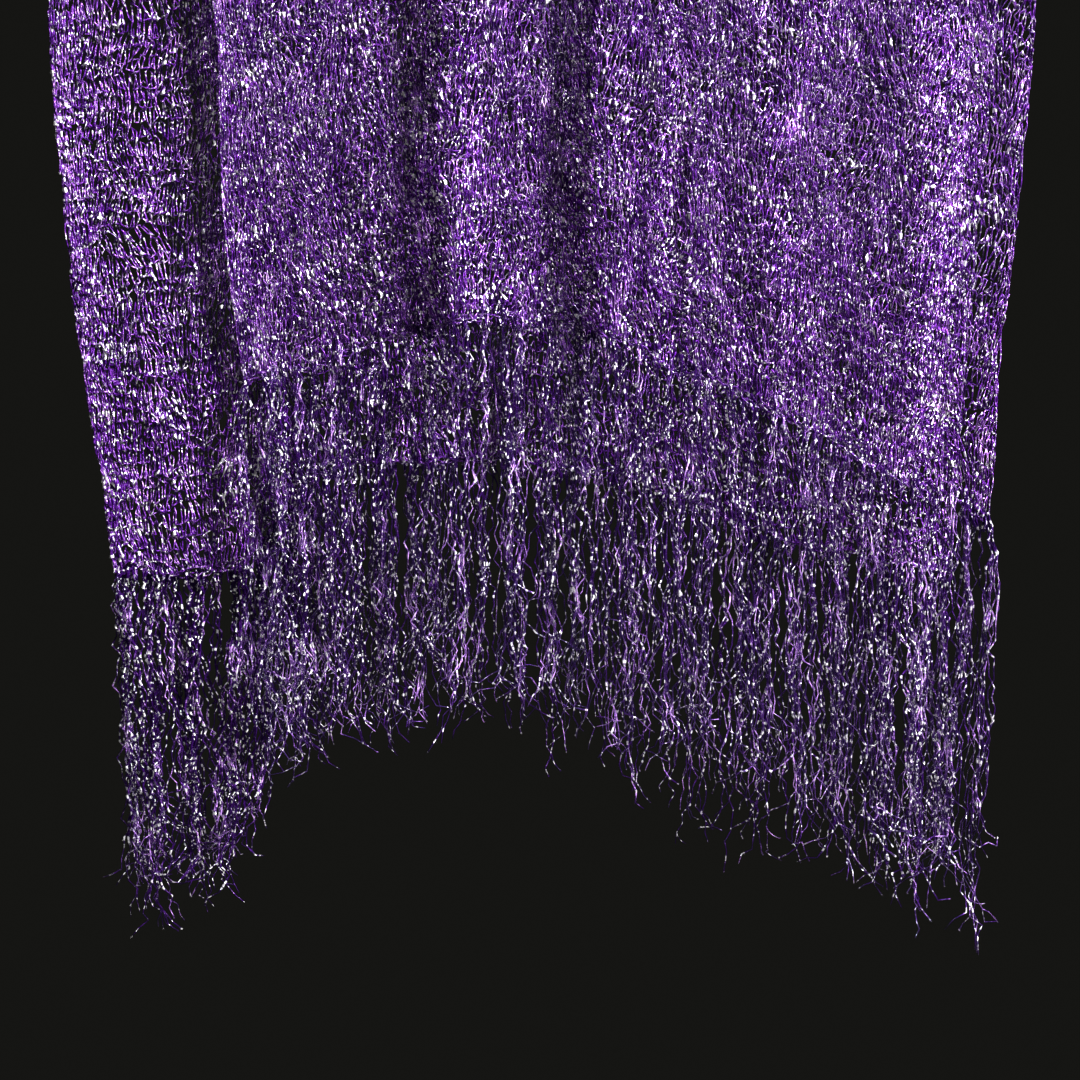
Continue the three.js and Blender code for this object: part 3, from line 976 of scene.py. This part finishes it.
@dataclass
class Net:
    """The open knit of one half: one line of yarn for each course, hooked through the next.

    foot, head, shoulder and the reaches shape one stitch, as shares of a stitch and of a course.
    pull, lean, sag, ripple and drift make the knit uneven over many stitches, and the names with
    course, stitch and loose make single ones so. The lines' numbers keep their silver apart.
    """

    drape: Drape
    finish: bpy.types.Material
    courses: int = 146
    yarn: float = 0.36
    far_yarn: float = 0.41
    crest_swell: float = 0.45
    crest_between: tuple[float, float] = (0.02, 0.09)
    foot: float = 0.33
    head: float = 0.15
    shoulder: float = 0.14
    reach_up: float = 0.2
    reach_down: float = 0.12
    head_out: float = 0.7
    shoulder_share: float = 0.6
    foot_out: float = -0.7
    pull: Swell = Swell(0.18, (1 / 8, 2.1), 9)
    lean: Swell = Swell(0.42, (1 / 11, 1 / 5), 10)
    sag: Swell = Swell(0.42, (1 / 16, 1 / 7), 5)
    ripple: Swell = Swell(0.3, (1 / 6, 1 / 3.4), 6)
    drift: Swell = Swell(0.9, (1 / 10, 1 / 8), 7)
    course_pull: float = 0.08
    stitch_pull: float = 0.12
    stitch_lean: float = 0.2
    loose_across: float = 0.15
    loose_down: float = 0.13
    loose_out: float = 0.35
    thickness: Swell = Swell(0.16, (60, 90), 8)
    thick_range: tuple[float, float] = (0.78, 1.2)
    thick_draw: int = 3
    few_slubs: float = 0.02
    many_slubs: float = 0.3
    slub_swell: float = 1.3
    slub_crowd: Swell = Swell(1.0, (9, 1 / 2.2), 21)
    slub_spots: Swell = Swell(0.5, (30, 40), 22)
    crowd_between: tuple[float, float] = (0.5, 2.0)
    slub_draw: int = 40
    shank_clear: float = 3.2
    shank_foot: float = 4.0
    hem_share: float = 0.995
    hem_waver: Swell = Swell(0.0025, (26, 0), 15)
    hem_inset: float = 0.002
    hem_twist: float = 0.0012
    hem_twist_out: float = 0.6
    hem_line: float = 900.0
    edge_inset: float = 0.0015
    edge_wander: float = 0.0016
    edge_out: float = 0.4
    edge_line: float = 950.0

    def _stitch(self, band: Band) -> tuple[np.ndarray, np.ndarray, np.ndarray]:
        """Gives the shape of one stitch.

        Args:
            band: where it is.

        Returns:
            Its points' shares across a stitch, down a course and out of the cloth.
        """
        low, side_out = 1 + self.reach_down, self.shoulder_share * self.head_out
        if band.fine:
            across = [self.foot, self.head, 0.5, 1 - self.head, 1 - self.foot]
            down = [low, self.shoulder, -self.reach_up, self.shoulder, low]
            out = [self.foot_out, side_out, self.head_out, side_out, self.foot_out]
        else:
            across, down, out = [0.5, 1.0], [-self.reach_up, low], [self.head_out, self.foot_out]
        return np.array(across), np.array(down), np.array(out)

    def _course_lines(self, band: Band, first: int, last: int) -> tuple[np.ndarray, ...]:
        """Lays the courses' yarn on the cloth.

        Args:
            band: the stretch of net that they are in.
            first: the first course.
            last: the course after the last.

        Returns:
            The lines' shares across, shares down and heights off the cloth.
        """
        seed, stitches = self.drape.half.seed, self.drape.half.stitches
        rng = np.random.default_rng(seed + first)
        across, rise, out = self._stitch(band)
        is_head = np.tile(rise < 0.5, stitches)[None]
        across = (np.arange(stitches)[:, None] + across).ravel()[None].repeat(last - first, 0)
        course = np.arange(first, last)[:, None]
        each = (last - first, stitches)
        pull = 1 + self.pull.at(across, course, seed) + rng.normal(0, self.course_pull, course.shape)
        pull = pull + rng.normal(0, self.stitch_pull, each).repeat(len(rise), 1)
        stitch_lean = rng.normal(0, self.stitch_lean, each).repeat(len(rise), 1)
        lean = self.lean.at(across, course, seed) + stitch_lean
        down = course + np.tile(rise, stitches)[None] * pull
        across = across + lean * is_head + rng.normal(0, self.loose_across, across.shape)
        down = down + rng.normal(0, self.loose_down, across.shape)
        out = np.tile(out, stitches)[None] + rng.normal(0, self.loose_out, across.shape)
        down = down + self.sag.at(across, course, seed)
        down = down + self.ripple.at(across, course, seed)
        across = across + self.drift.at(across, course, seed)
        return across / stitches, down / self.courses, out

    def _slubs(self, across: np.ndarray, down: np.ndarray, rng: np.random.Generator) -> np.ndarray:
        """Returns 1 at the points of the yarn that are silver slubs, more of them in some courses."""
        seed = self.drape.half.seed
        crowd = self.slub_crowd.at(across, down * self.courses, seed) + self.slub_spots.at(across, down, seed)
        crowd = smooth_step(*self.crowd_between, crowd)
        wanted = self.few_slubs + (self.many_slubs - self.few_slubs) * crowd
        chosen = rng.random(across.shape) < wanted
        chosen[:, 1:] &= ~chosen[:, :-1]
        return chosen.astype(float)

    def _radius(
        self, band: Band, across: np.ndarray, down: np.ndarray, slub: np.ndarray, rng: np.random.Generator
    ) -> np.ndarray:
        """Gives the yarn's radius.

        Args:
            band: the stretch of net.
            across: the points' shares of the width.
            down: the points' shares of the length.
            slub: 1 where the point is a silver slub.
            rng: the scatter.

        Returns:
            A radius for each point.
        """
        crest = 1 - smooth_step(*self.crest_between, down)
        thick = self.yarn if band.fine else self.far_yarn * (1 + self.crest_swell * crest)
        thick = thick * (1 + self.thickness.at(across, down, self.drape.half.seed))
        return thick * rng.uniform(*self.thick_range, thick.shape) * (1 + self.slub_swell * slub)

    def _hem(self, across: np.ndarray) -> np.ndarray:
        """Returns how far down the last course lies."""
        return self.hem_share + self.hem_waver.at(across, across, self.drape.half.seed)

    def build(self, band: Band) -> bpy.types.Object:
        """Makes one band of the net.

        Args:
            band: which stretch.

        Returns:
            The new object.
        """
        drape, seed = self.drape, self.drape.half.seed
        first, last = (round(share * self.courses) for share in band.value)
        across, down, out = self._course_lines(band, first, last)
        across = np.clip(across, 0, 1)
        down = np.clip(down, 0, self._hem(across))
        across = tighter_edges(across)
        points = self._clear_of_shank(drape.point(across, down, out))
        slub = self._slubs(across, down, np.random.default_rng(seed + self.slub_draw + first))
        rng = np.random.default_rng(seed + first + self.thick_draw)
        line = np.arange(first, last)[:, None] + np.zeros_like(across)
        place = np.stack([across * drape.cut_width, down * drape.cut_length, line], axis=2)
        batch = YarnBatch()
        radius = self._radius(band, across, down, slub, rng)
        batch.add(points, drape.normal(across, down), radius, place, slub)
        if band is Band.HEM:
            self._cast_off(batch)
        self._selvedges(batch, band)
        return batch.build(f"{drape.half.name}_net_{band.name.lower()}", self.finish)

    def _clear_of_shank(self, points: np.ndarray, nearest: float = 0.2) -> np.ndarray:
        """Returns the points with those near the hook's shank pushed aside."""
        flat = points[..., :2]
        away = np.linalg.norm(flat, axis=-1, keepdims=True)
        near = (away < self.shank_clear) & (points[..., 2:] > self.drape.hanger.top - self.shank_foot)
        pushed = flat / np.maximum(away, nearest) * self.shank_clear
        return np.concatenate([np.where(near, pushed, flat), points[..., 2:]], axis=-1)

    def _lay(
        self, batch: YarnBatch, across: np.ndarray, down: np.ndarray, out: np.ndarray, row: np.ndarray, line: float
    ) -> None:
        """Adds one single yarn that lies on the cloth.

        Args:
            batch: what it is added to.
            across: its points' shares of the width.
            down: their shares of the length.
            out: how far they stand off the cloth.
            row: their place down the cloth, for the material.
            line: the yarn's number, for the material.
        """
        place = np.stack([across * self.drape.cut_width, row, np.full_like(across, line)], 1)
        points = self.drape.point(across, down, out)
        batch.add(points[None], self.drape.normal(across, down)[None], self.yarn, place[None])

    def _cast_off(self, batch: YarnBatch) -> None:
        """Adds the two twisted yarns that bind off the last course at the hem."""
        stitches = self.drape.half.stitches
        across = np.linspace(self.hem_inset, 1 - self.hem_inset, 2 * stitches)
        row = np.full_like(across, self.drape.cut_length)
        for turn in (0.0, math.pi):
            twist = across * stitches * 0.5 * math.pi + turn
            down = np.clip(self._hem(across) + self.hem_twist * np.sin(twist), 0, 1)
            self._lay(batch, across, down, self.hem_twist_out * np.cos(twist), row, self.hem_line + turn)

    def _selvedges(self, batch: YarnBatch, band: Band) -> None:
        """Adds the looser yarn that runs down both edges."""
        down = np.linspace(*band.value, self.courses)
        for edge, draw in ((self.edge_inset, 61), (1 - self.edge_inset, 62)):
            wander = Swell(self.edge_wander, (60, 35), draw).at(down, down, self.drape.half.seed)
            across = np.clip(edge + wander, 0, 1)
            out = Swell(self.edge_out, (40, 90), draw).at(down, down, 0)
            self._lay(batch, across, down, out, down * self.drape.cut_length, self.edge_line + draw)


@dataclass(frozen=True)
class Wave:
    """An uneven lean along a strand: its shortest and longest wave in millimetres, its usual size in
    radians, its share of that at the root and what it gains towards the tip."""

    pitch: tuple[float, float]
    lean: float
    root: float = 1.0
    gain: float = 0.0


@dataclass
class Fringe:
    """The loose yarn ends below one hem: bundles of fine filaments whose tips part and curl.

    A bundle has its swing, its curve and a hooked end, and each of its filaments has its own curl,
    crinkle and tip. What is called from gives the share of the length where a thing starts.
    """

    drape: Drape
    finish: bpy.types.Material
    draw: int = 101
    stops: int = 34
    filament: float = 0.34
    thick_range: tuple[float, float] = (0.6, 1.15)
    thinning: float = 0.35
    tuft: float = 0.7
    scatter: float = 8.0
    above_hem: float = 9.0
    spacing: float = 0.35
    edge_pull: float = 0.4
    root_rise: tuple[float, float] = (0.004, 0.02)
    root_out: float = 1.1
    crowd_range: tuple[float, float] = (0.5, 1.5)
    swing: Wave = Wave((60, 150), 0.05)
    curve: Wave = Wave((26, 52), 0.13, 0.4, 1.0)
    hook: float = 0.28
    hook_from: float = 0.8
    curl: Wave = Wave((15, 32), 0.17, 0.6, 0.7)
    crinkle: float = 0.46
    tip_curl: float = 0.6
    tip_curl_from: float = 0.86
    tip_lean: float = 0.15
    tip_lean_from: float = 0.74
    backward: float = 0.7
    locks: tuple[int, ...] = (1, 1, 2, 2, 3, 4)
    lock_pull: float = 0.6
    lock_between: tuple[float, float] = (0.05, 0.7)
    short_share: float = 0.22
    short_range: tuple[float, float] = (0.72, 0.95)
    length_scatter: float = 0.03
    slubs: float = 0.09
    slub_swell: float = 1.1
    wisps: int = 1
    wisp_stops: int = 8
    wisp_yarn: float = 0.16
    wisp_range: tuple[float, float] = (4, 9)
    wisps_from: float = 0.55
    knot_yarn: float = 0.45
    knot_range: tuple[float, float] = (2.5, 6.0)
    knot_out: float = 1.3

    def build(self) -> bpy.types.Object:
        """Returns the whole fringe of one hem as one object."""
        half, count = self.drape.half, self.drape.half.bundles
        rng = np.random.default_rng(half.seed + self.draw)
        across = (np.arange(count) + 0.5 + rng.uniform(-self.spacing, self.spacing, count)) / count
        across = tighter_edges(across, self.edge_pull, self.edge_pull)
        roots = self.drape.point(across, 1 - rng.uniform(*self.root_rise, count), self.root_out)
        length = half.strand_length.at(roots[:, 0]) + self.above_hem + rng.normal(0, self.scatter, count)
        share = np.linspace(0, 1, self.stops)
        shift = self._shift(rng, roots, share)
        lean = [self._bend(rng, length, share, self.swing) for _ in range(2)]
        lean = [part + self._bend(rng, length, share, self.curve) for part in lean]
        hooked = smooth_step(self.hook_from, 1.0, share)
        lean = [part + rng.normal(0, self.hook, (count, 1)) * hooked for part in lean]
        filaments = np.rint(half.crowd.at(across) * rng.uniform(*self.crowd_range, count)).astype(int)
        member = np.repeat(np.arange(count), filaments)
        start = roots[member] + rng.normal(0, 0.5 * self.tuft, (len(member), 3)) * (1, 1, 0)
        reach = length[member] * self._reach(rng, len(member))
        paths = self._filaments(rng, start, reach, share, [part[member] for part in lean]) + shift[member]
        paths = self._kept_near(paths)
        thick = self.filament * rng.uniform(*self.thick_range, (len(member), 1))
        thick = thick * (1 - self.thinning * share**3)
        slub = (rng.random(thick.shape) < self.slubs).astype(float)
        slub[:, 1:] *= 1 - slub[:, :-1]
        batch = YarnBatch()
        thick = thick * (1 + self.slub_swell * slub)
        batch.add(paths, self._facing(paths), thick, self._places(paths, 1), slub)
        self._wisps(batch, rng, paths)
        self._knots(batch, rng, across)
        return batch.build(f"{half.name}_tassels", self.finish)

    def _shift(self, rng: np.random.Generator, roots: np.ndarray, share: np.ndarray) -> np.ndarray:
        """Gives how far the bundles are drawn aside, each to the others in its lock.

        Args:
            rng: the scatter.
            roots: where the bundles start.
            share: the stops' shares of a bundle's length.

        Returns:
            Moves for each bundle and stop.
        """
        half = self.drape.half
        sizes = rng.choice(self.locks, half.bundles)
        lock = np.repeat(np.arange(len(sizes)), sizes)[: half.bundles]
        centre = np.array([roots[lock == k].mean(0) for k in range(lock.max() + 1)])[lock]
        pull = rng.uniform(0.0, self.lock_pull, lock.max() + 1)[lock][:, None]
        pull = smooth_step(*self.lock_between, share) * pull
        shift = (centre - roots)[:, None] * pull[..., None] * (1, 1, 0)
        shift[:, :, 0] += half.strand_drift.at(roots[:, 0])[:, None] * share**2
        return shift

    def _reach(self, rng: np.random.Generator, count: int) -> np.ndarray:
        """Returns each filament's length as a share of its bundle's."""
        short = rng.random(count) < self.short_share
        cut = rng.uniform(*self.short_range, count)
        return np.where(short, cut, rng.normal(1.0, self.length_scatter, count))

    @staticmethod
    def _bend(
        rng: np.random.Generator, length: np.ndarray, share: np.ndarray, wave: Wave, size: float = 1.0
    ) -> np.ndarray:
        """Gives an uneven lean along each line.

        Args:
            rng: the scatter.
            length: the lines' lengths.
            share: the stops' shares of a line's length.
            wave: the lean's waves.
            size: scales the lean.

        Returns:
            Angles for each line and stop.
        """
        one = (len(length), 1)
        total = np.zeros((len(length), len(share)))
        for _ in range(2):
            waves = length[:, None] / rng.uniform(*wave.pitch, one)
            phase = rng.uniform(0, 2 * math.pi, one)
            total += rng.normal(0, wave.lean * size, one) * np.sin(2 * math.pi * waves * share + phase)
        return total * (wave.root + wave.gain * share)

    def _filaments(
        self,
        rng: np.random.Generator,
        start: np.ndarray,
        reach: np.ndarray,
        share: np.ndarray,
        lean: list[np.ndarray],
    ) -> np.ndarray:
        """Lets filaments hang from their roots, each with its own waves, crinkles and curled tip.

        Args:
            rng: the scatter.
            start: the roots.
            reach: the filaments' lengths.
            share: the stops' shares of a length.
            lean: the bundles' lean to the side and to the back.

        Returns:
            The filaments' points.
        """
        one = (len(reach), 1)
        tip = smooth_step(self.tip_lean_from, 1.0, share)
        curled = smooth_step(self.tip_curl_from, 1.0, share)
        to_and_fro = np.where(np.arange(len(share)) % 2, 1.0, -1.0)
        angles = []
        for part, size in zip(lean, (1.0, self.backward)):
            angle = part + self._bend(rng, reach, share, self.curl, size)
            angle = angle + to_and_fro * rng.uniform(0, self.crinkle * size, (len(reach), len(share)))
            angle = angle + rng.normal(0, self.tip_curl * size, one) * curled
            angles.append(angle + rng.normal(0, self.tip_lean * size, one) * tip)
        side, back = angles
        ways = [np.sin(side) * np.cos(back), np.sin(back), -np.cos(side) * np.cos(back)]
        return walked(start, ways, reach[:, None] / (len(share) - 1))

    def _kept_near(self, path: np.ndarray, soft: float = 7.0, inner: float = 12.0) -> np.ndarray:
        """Draws what strays far in front of or behind the cloth back to it.

        Args:
            path: the strands' points.
            soft: the depth over which they are drawn back.
            inner: how far past the hanger's middle they may swing.

        Returns:
            The points, none of them beyond the half's depth.
        """
        half = self.drape.half
        depth = half.side * path[..., 1]
        free = half.deepest - soft
        over = np.maximum(depth - free, 0)
        depth = np.minimum(depth, free) + soft * (1 - np.exp(-over / soft))
        kept = path.copy()
        kept[..., 1] = half.side * np.maximum(depth, -inner)
        return kept

    def _facing(self, path: np.ndarray) -> np.ndarray:
        """Returns the direction that a strand's tubes face."""
        return np.broadcast_to(np.array([0.0, float(self.drape.half.side), 0.0]), path.shape)

    def _places(self, path: np.ndarray, kind: int) -> np.ndarray:
        """Returns each point's place, for the material, with kinds of strand kept apart."""
        number = np.arange(len(path))[:, None] + 1000 * kind + np.zeros(path.shape[:2])
        return np.stack([path[:, :, 0], -path[:, :, 2], number], axis=2)

    def _wisps(self, batch: YarnBatch, rng: np.random.Generator, paths: np.ndarray) -> None:
        """Adds the hair-thin curls that stray from the filaments near their tips."""
        chosen = rng.integers(0, len(paths), self.wisps * self.drape.half.bundles)
        one = (len(chosen), 1)
        start = paths[chosen, rng.integers(int(self.stops * self.wisps_from), self.stops - 1, len(chosen))]
        share = np.linspace(0, 1, self.wisp_stops)
        reach = rng.uniform(*self.wisp_range, len(chosen))
        turn = rng.normal(0, 0.5, one) + rng.normal(0, 1.2, one) * share
        deep = rng.normal(0, 0.4, one) + 0 * share
        step = reach[:, None] / (self.wisp_stops - 1)
        path = self._kept_near(walked(start, [np.sin(turn), np.sin(deep), -np.cos(turn)], step))
        batch.add(path, self._facing(path), self.wisp_yarn * (1 - 0.5 * share), self._places(path, 10))

    def _knots(self, batch: YarnBatch, rng: np.random.Generator, across: np.ndarray) -> None:
        """Loops each bundle's yarn twice over the hem."""
        one = (len(across), 1)
        turn = np.linspace(-0.15 * math.pi, 1.15 * math.pi, 9)
        for kind in (30, 31):
            tall = rng.uniform(*self.knot_range, one)
            u = across[:, None] + rng.normal(0, 0.0015, one) + 0 * turn
            loop = self.drape.point(u, np.ones_like(u), self.knot_out * np.cos(turn) + 0 * u)
            loop[:, :, 2] += tall * np.maximum(np.sin(turn), -0.5)
            loop[:, :, 0] += rng.normal(0, 0.8, one) * np.sin(turn)
            facing = self.drape.normal(u, np.ones_like(u))
            batch.add(loop, facing, self.knot_yarn, self._places(loop, kind))


@dataclass
class ShawlHalf:
    """One half of the shawl: four bands of net and a fringe."""

    half: Half
    net_finish: bpy.types.Material
    fringe_finish: bpy.types.Material
    net_slot: str
    fringe_slot: str

    def build(self) -> None:
        """Makes the half's pieces."""
        drape = Drape(self.half)
        net = Net(drape, self.net_finish)
        tassels = Fringe(drape, self.fringe_finish).build()
        register(tassels, [f"{self.half.name}_fringe"])
        drop = abs(float(self.half.hem.at(0.0)) - drape.ridge_top) * MM
        for band in Band:
            piece = net.build(band)
            register(piece, [f"{self.half.name}_panel"])
            share = band.value[1] - band.value[0]
            drape.cut_width * MM
            drop * share


def register(piece: bpy.types.Object, nodes: list[str]) -> None:
    """Lets a piece ride on the body and stand for its nodes.

    Args:
        piece: the finished piece.
        nodes: the CAD nodes that it stands for.
    """
    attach(piece, BODY)
    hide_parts(*nodes)
    faces = sum(len(polygon.vertices) - 2 for polygon in piece.data.polygons)
    LOG.info("%s: %d triangles", piece.name, faces)


# The hanger


def deselect() -> None:
    """Leaves nothing selected, so that an operator acts on the new piece alone."""
    for thing in bpy.context.selected_objects:
        thing.select_set(False)


def settle(piece: bpy.types.Object, name: str, material: bpy.types.Material) -> bpy.types.Object:
    """Names a piece, applies its place and modifiers, and gives it its finish.

    Args:
        piece: the piece as modelled.
        name: its name.
        material: its finish.

    Returns:
        The same piece.
    """
    piece.name = name
    piece.data.name = name
    for modifier in list(piece.modifiers):
        bpy.ops.object.modifier_apply(modifier=modifier.name)
    bpy.ops.object.transform_apply(location=True, rotation=True, scale=True)
    piece.data.materials.clear()
    piece.data.materials.append(material)
    return piece


@dataclass
class Hanger:
    """The wooden arms and the steel hook that hold the shawl up."""

    wood: bpy.types.Material
    steel: bpy.types.Material
    form: HangerForm = field(default_factory=HangerForm)
    cuts: int = 47
    edge_steps: int = 5
    wire: float = 4.0
    bend: float = 22.0
    ease: float = 8.0
    seated: float = 14.0
    mouth_angle: float = 196.0
    ball: float = 6.0
    edge_flat: float = 0.35
    sharp_angle: float = 50.0
    smooth_angle: float = 40.0
    wire_sides: int = 20
    ease_steps: int = 12
    bend_steps: int = 56

    def build(self) -> None:
        """Makes the arms and the hook."""
        register(self._arms(), ["hanger"])
        register(self._hook(), ["hook"])

    def _arms(self) -> bpy.types.Object:
        """Returns the arms, cut from one board and rounded."""
        form = self.form
        deselect()
        bpy.ops.mesh.primitive_cube_add(size=1, location=(0, 0, 0))
        arms = bpy.context.active_object
        arms.scale = (2 * form.half * MM, form.thick * MM, form.deep_middle * MM)
        bpy.ops.object.transform_apply(location=True, rotation=True, scale=True)
        bpy.ops.object.mode_set(mode="EDIT")
        bpy.ops.mesh.select_mode(type="EDGE")
        bpy.ops.mesh.select_all(action="DESELECT")
        bpy.ops.object.mode_set(mode="OBJECT")
        for edge in arms.data.edges:
            a, b = (arms.data.vertices[i].co for i in edge.vertices)
            edge.select = abs(a.x - b.x) > form.half * MM
        bpy.ops.object.mode_set(mode="EDIT")
        bpy.ops.mesh.subdivide(number_cuts=self.cuts)
        bpy.ops.object.mode_set(mode="OBJECT")
        for vertex in arms.data.vertices:
            x = vertex.co.x / MM
            top = form.top - float(form.arm_drop(np.array(x)))
            share = abs(x) / form.half
            deep = form.deep_middle + (form.deep_end - form.deep_middle) * share
            vertex.co.z = (top if vertex.co.z > 0 else top - deep) * MM
        bevel = arms.modifiers.new("rounded_edges", "BEVEL")
        bevel.width = (form.thick / 2 - self.edge_flat) * MM
        bevel.segments = self.edge_steps
        bevel.limit_method = "ANGLE"
        bevel.angle_limit = math.radians(self.sharp_angle)
        settle(arms, "hanger_arms", self.wood)
        bpy.ops.object.shade_smooth_by_angle(angle=math.radians(self.smooth_angle))
        return arms

    def _hook(self) -> bpy.types.Object:
        """Returns the hook, bent from one wire, with its rounded end."""
        centre = -(self.bend - self.wire / 2)
        ease_centre = centre - math.sqrt((self.bend + self.ease) ** 2 - self.ease**2)
        meet = math.atan2(ease_centre - centre, self.ease)
        foot = self.form.top - self.seated
        deselect()
        bpy.ops.mesh.primitive_circle_add(
            vertices=self.wire_sides, radius=self.wire / 2 * MM, fill_type="NGON", location=(0, 0, foot * MM)
        )
        hook = bpy.context.active_object
        bpy.ops.object.mode_set(mode="EDIT")
        bpy.ops.mesh.select_mode(type="FACE")
        bpy.ops.mesh.select_all(action="SELECT")
        bpy.ops.mesh.extrude_region_move(
            TRANSFORM_OT_translate={"value": (0, 0, (ease_centre - foot) * MM)}
        )
        turn = math.radians(self.mouth_angle)
        arcs = (
            (self.ease_steps, meet, (self.ease * MM, 0, ease_centre * MM)),
            (self.bend_steps, turn - meet, (0, 0, centre * MM)),
        )
        for steps, angle, middle in arcs:
            bpy.ops.mesh.spin(steps=steps, angle=angle, center=middle, axis=(0, 1, 0))
        bpy.ops.mesh.select_all(action="SELECT")
        bpy.ops.mesh.remove_doubles(threshold=1e-6)
        bpy.ops.mesh.normals_make_consistent(inside=False)
        bpy.ops.object.mode_set(mode="OBJECT")
        deselect()
        bpy.ops.mesh.primitive_uv_sphere_add(
            segments=24,
            ring_count=16,
            radius=self.ball / 2 * MM,
            location=(self.bend * math.cos(turn) * MM, 0, (centre + self.bend * math.sin(turn)) * MM),
        )
        ball = bpy.context.active_object
        bpy.ops.object.transform_apply(location=True, rotation=True, scale=True)
        deselect()
        hook.select_set(True)
        bpy.context.view_layer.objects.active = hook
        union = hook.modifiers.new("rounded_end", "BOOLEAN")
        union.operation = "UNION"
        union.object = ball
        settle(hook, "hook_wire", self.steel)
        bpy.data.objects.remove(ball)
        bpy.ops.object.shade_smooth_by_angle(angle=math.radians(self.smooth_angle))
        return hook


# The studio


@dataclass(frozen=True)
class Lamp:
    """A square soft light. Its azimuth is 0 in front and above 0 to the right.

    size is its side and away its distance from the target, in metres. power is in watts, and
    azimuth and height are its direction and elevation in degrees.
    """

    name: str
    size: float
    power: float
    azimuth: float
    height: float
    away: float


LAMPS = (
    Lamp("key", 0.24, 285, 54, 39, 1.9),
    Lamp("sparkle", 0.06, 3, -20, 28, 1.9),
    Lamp("fill", 1.6, 0.7, -42, 12, 2.2),
    Lamp("side", 1.0, 5, -112, 20, 2.2),
    Lamp("back_key", 0.7, 58, 163, 30, 2.2),
    Lamp("back_fill", 1.4, 16, -160, 10, 2.2),
)


@dataclass
class Studio:
    """The floor, the lights and the camera at the photograph's angle, in metres and degrees."""

    camera_height: float = -0.8465
    camera_back: float = 0.684
    camera_pitch: float = 7.0
    lens: float = 50.0
    film: float = 36.0
    floor_height: float = -1.75
    floor_radius: float = 1.1
    target: tuple[float, float, float] = (0.0, 0.0, -0.75)
    room: Colour = (0.0078, 0.0078, 0.0068, 1)

    def build(self) -> None:
        """Sets up everything round the object."""
        self._floor()
        self._world()
        for lamp in LAMPS:
            self._light(lamp)
        self._camera()

    def _floor(self) -> None:
        """Lays the floor."""
        deselect()
        bpy.ops.mesh.primitive_circle_add(
            vertices=96, radius=self.floor_radius, fill_type="NGON", location=(0, 0, self.floor_height)
        )
        floor = bpy.context.active_object
        settle(floor, "floor", FloorFinish().material())

    def _world(self) -> None:
        """Fills the room with a dim even light."""
        world = bpy.data.worlds.new("room")
        world.use_nodes = True
        background = world.node_tree.nodes["Background"]
        background.inputs["Color"].default_value = self.room
        background.inputs["Strength"].default_value = 1.0
        bpy.context.scene.world = world

    def _light(self, lamp: Lamp) -> None:
        """Adds a light that faces the target."""
        light = bpy.data.lights.new(lamp.name, "AREA")
        light.size = lamp.size
        light.energy = lamp.power
        holder = bpy.data.objects.new(lamp.name, light)
        bpy.context.scene.collection.objects.link(holder)
        a, e = math.radians(lamp.azimuth), math.radians(lamp.height)
        offset = Vector((math.sin(a) * math.cos(e), -math.cos(a) * math.cos(e), math.sin(e))) * lamp.away
        holder.location = Vector(self.target) + offset
        holder.rotation_euler = (-offset).to_track_quat("-Z", "Y").to_euler()

    def _camera(self) -> None:
        """Places the camera where the photograph was taken from."""
        data = bpy.data.cameras.new("camera")
        data.lens = self.lens
        data.sensor_width = self.film
        data.sensor_fit = "HORIZONTAL"
        camera = bpy.data.objects.new("camera", data)
        camera.location = (0, -self.camera_back, self.camera_height)
        camera.rotation_euler = (math.radians(90 - self.camera_pitch), 0, 0)
        bpy.context.scene.collection.objects.link(camera)
        bpy.context.scene.camera = camera


# In both finishes deep is painted shade and light is a painted highlight on the dyed body colour.
NET_YARN = YarnFinish(
    "net_yarn",
    deep=(0.018, 0.0014, 0.062, 1),
    body=(0.17, 0.03, 0.37, 1),
    light=(0.88, 0.54, 1.0, 1),
)
FRINGE_YARN = YarnFinish(
    "fringe_yarn",
    deep=(0.014, 0.0015, 0.046, 1),
    body=(0.06, 0.01, 0.16, 1),
    light=(0.7, 0.38, 0.98, 1),
    bead_pitch=4.0,
    bead_share=0.18,
    few_beads=0.14,
    many_beads=0.5,
    patch=4.5,
    uneven=5.0,
    shade=0.42,
    bead_from=0.84,
)


def main() -> None:
    """Dresses the frame: finishes, the two halves of the shawl, the hanger and the studio."""
    logging.basicConfig(level=logging.INFO)
    bpy.context.scene.view_settings.view_transform = "Standard"
    net, loose = NET_YARN.material(), FRINGE_YARN.material()
    Hanger(WoodFinish().material(), SteelFinish().material()).build()
    ShawlHalf(FRONT, net, loose, "net", "fringe").build()
    ShawlHalf(BACK, net, loose, "net_shaded", "fringe_shaded").build()
    Studio().build()


if __name__ == "__main__":
    main()
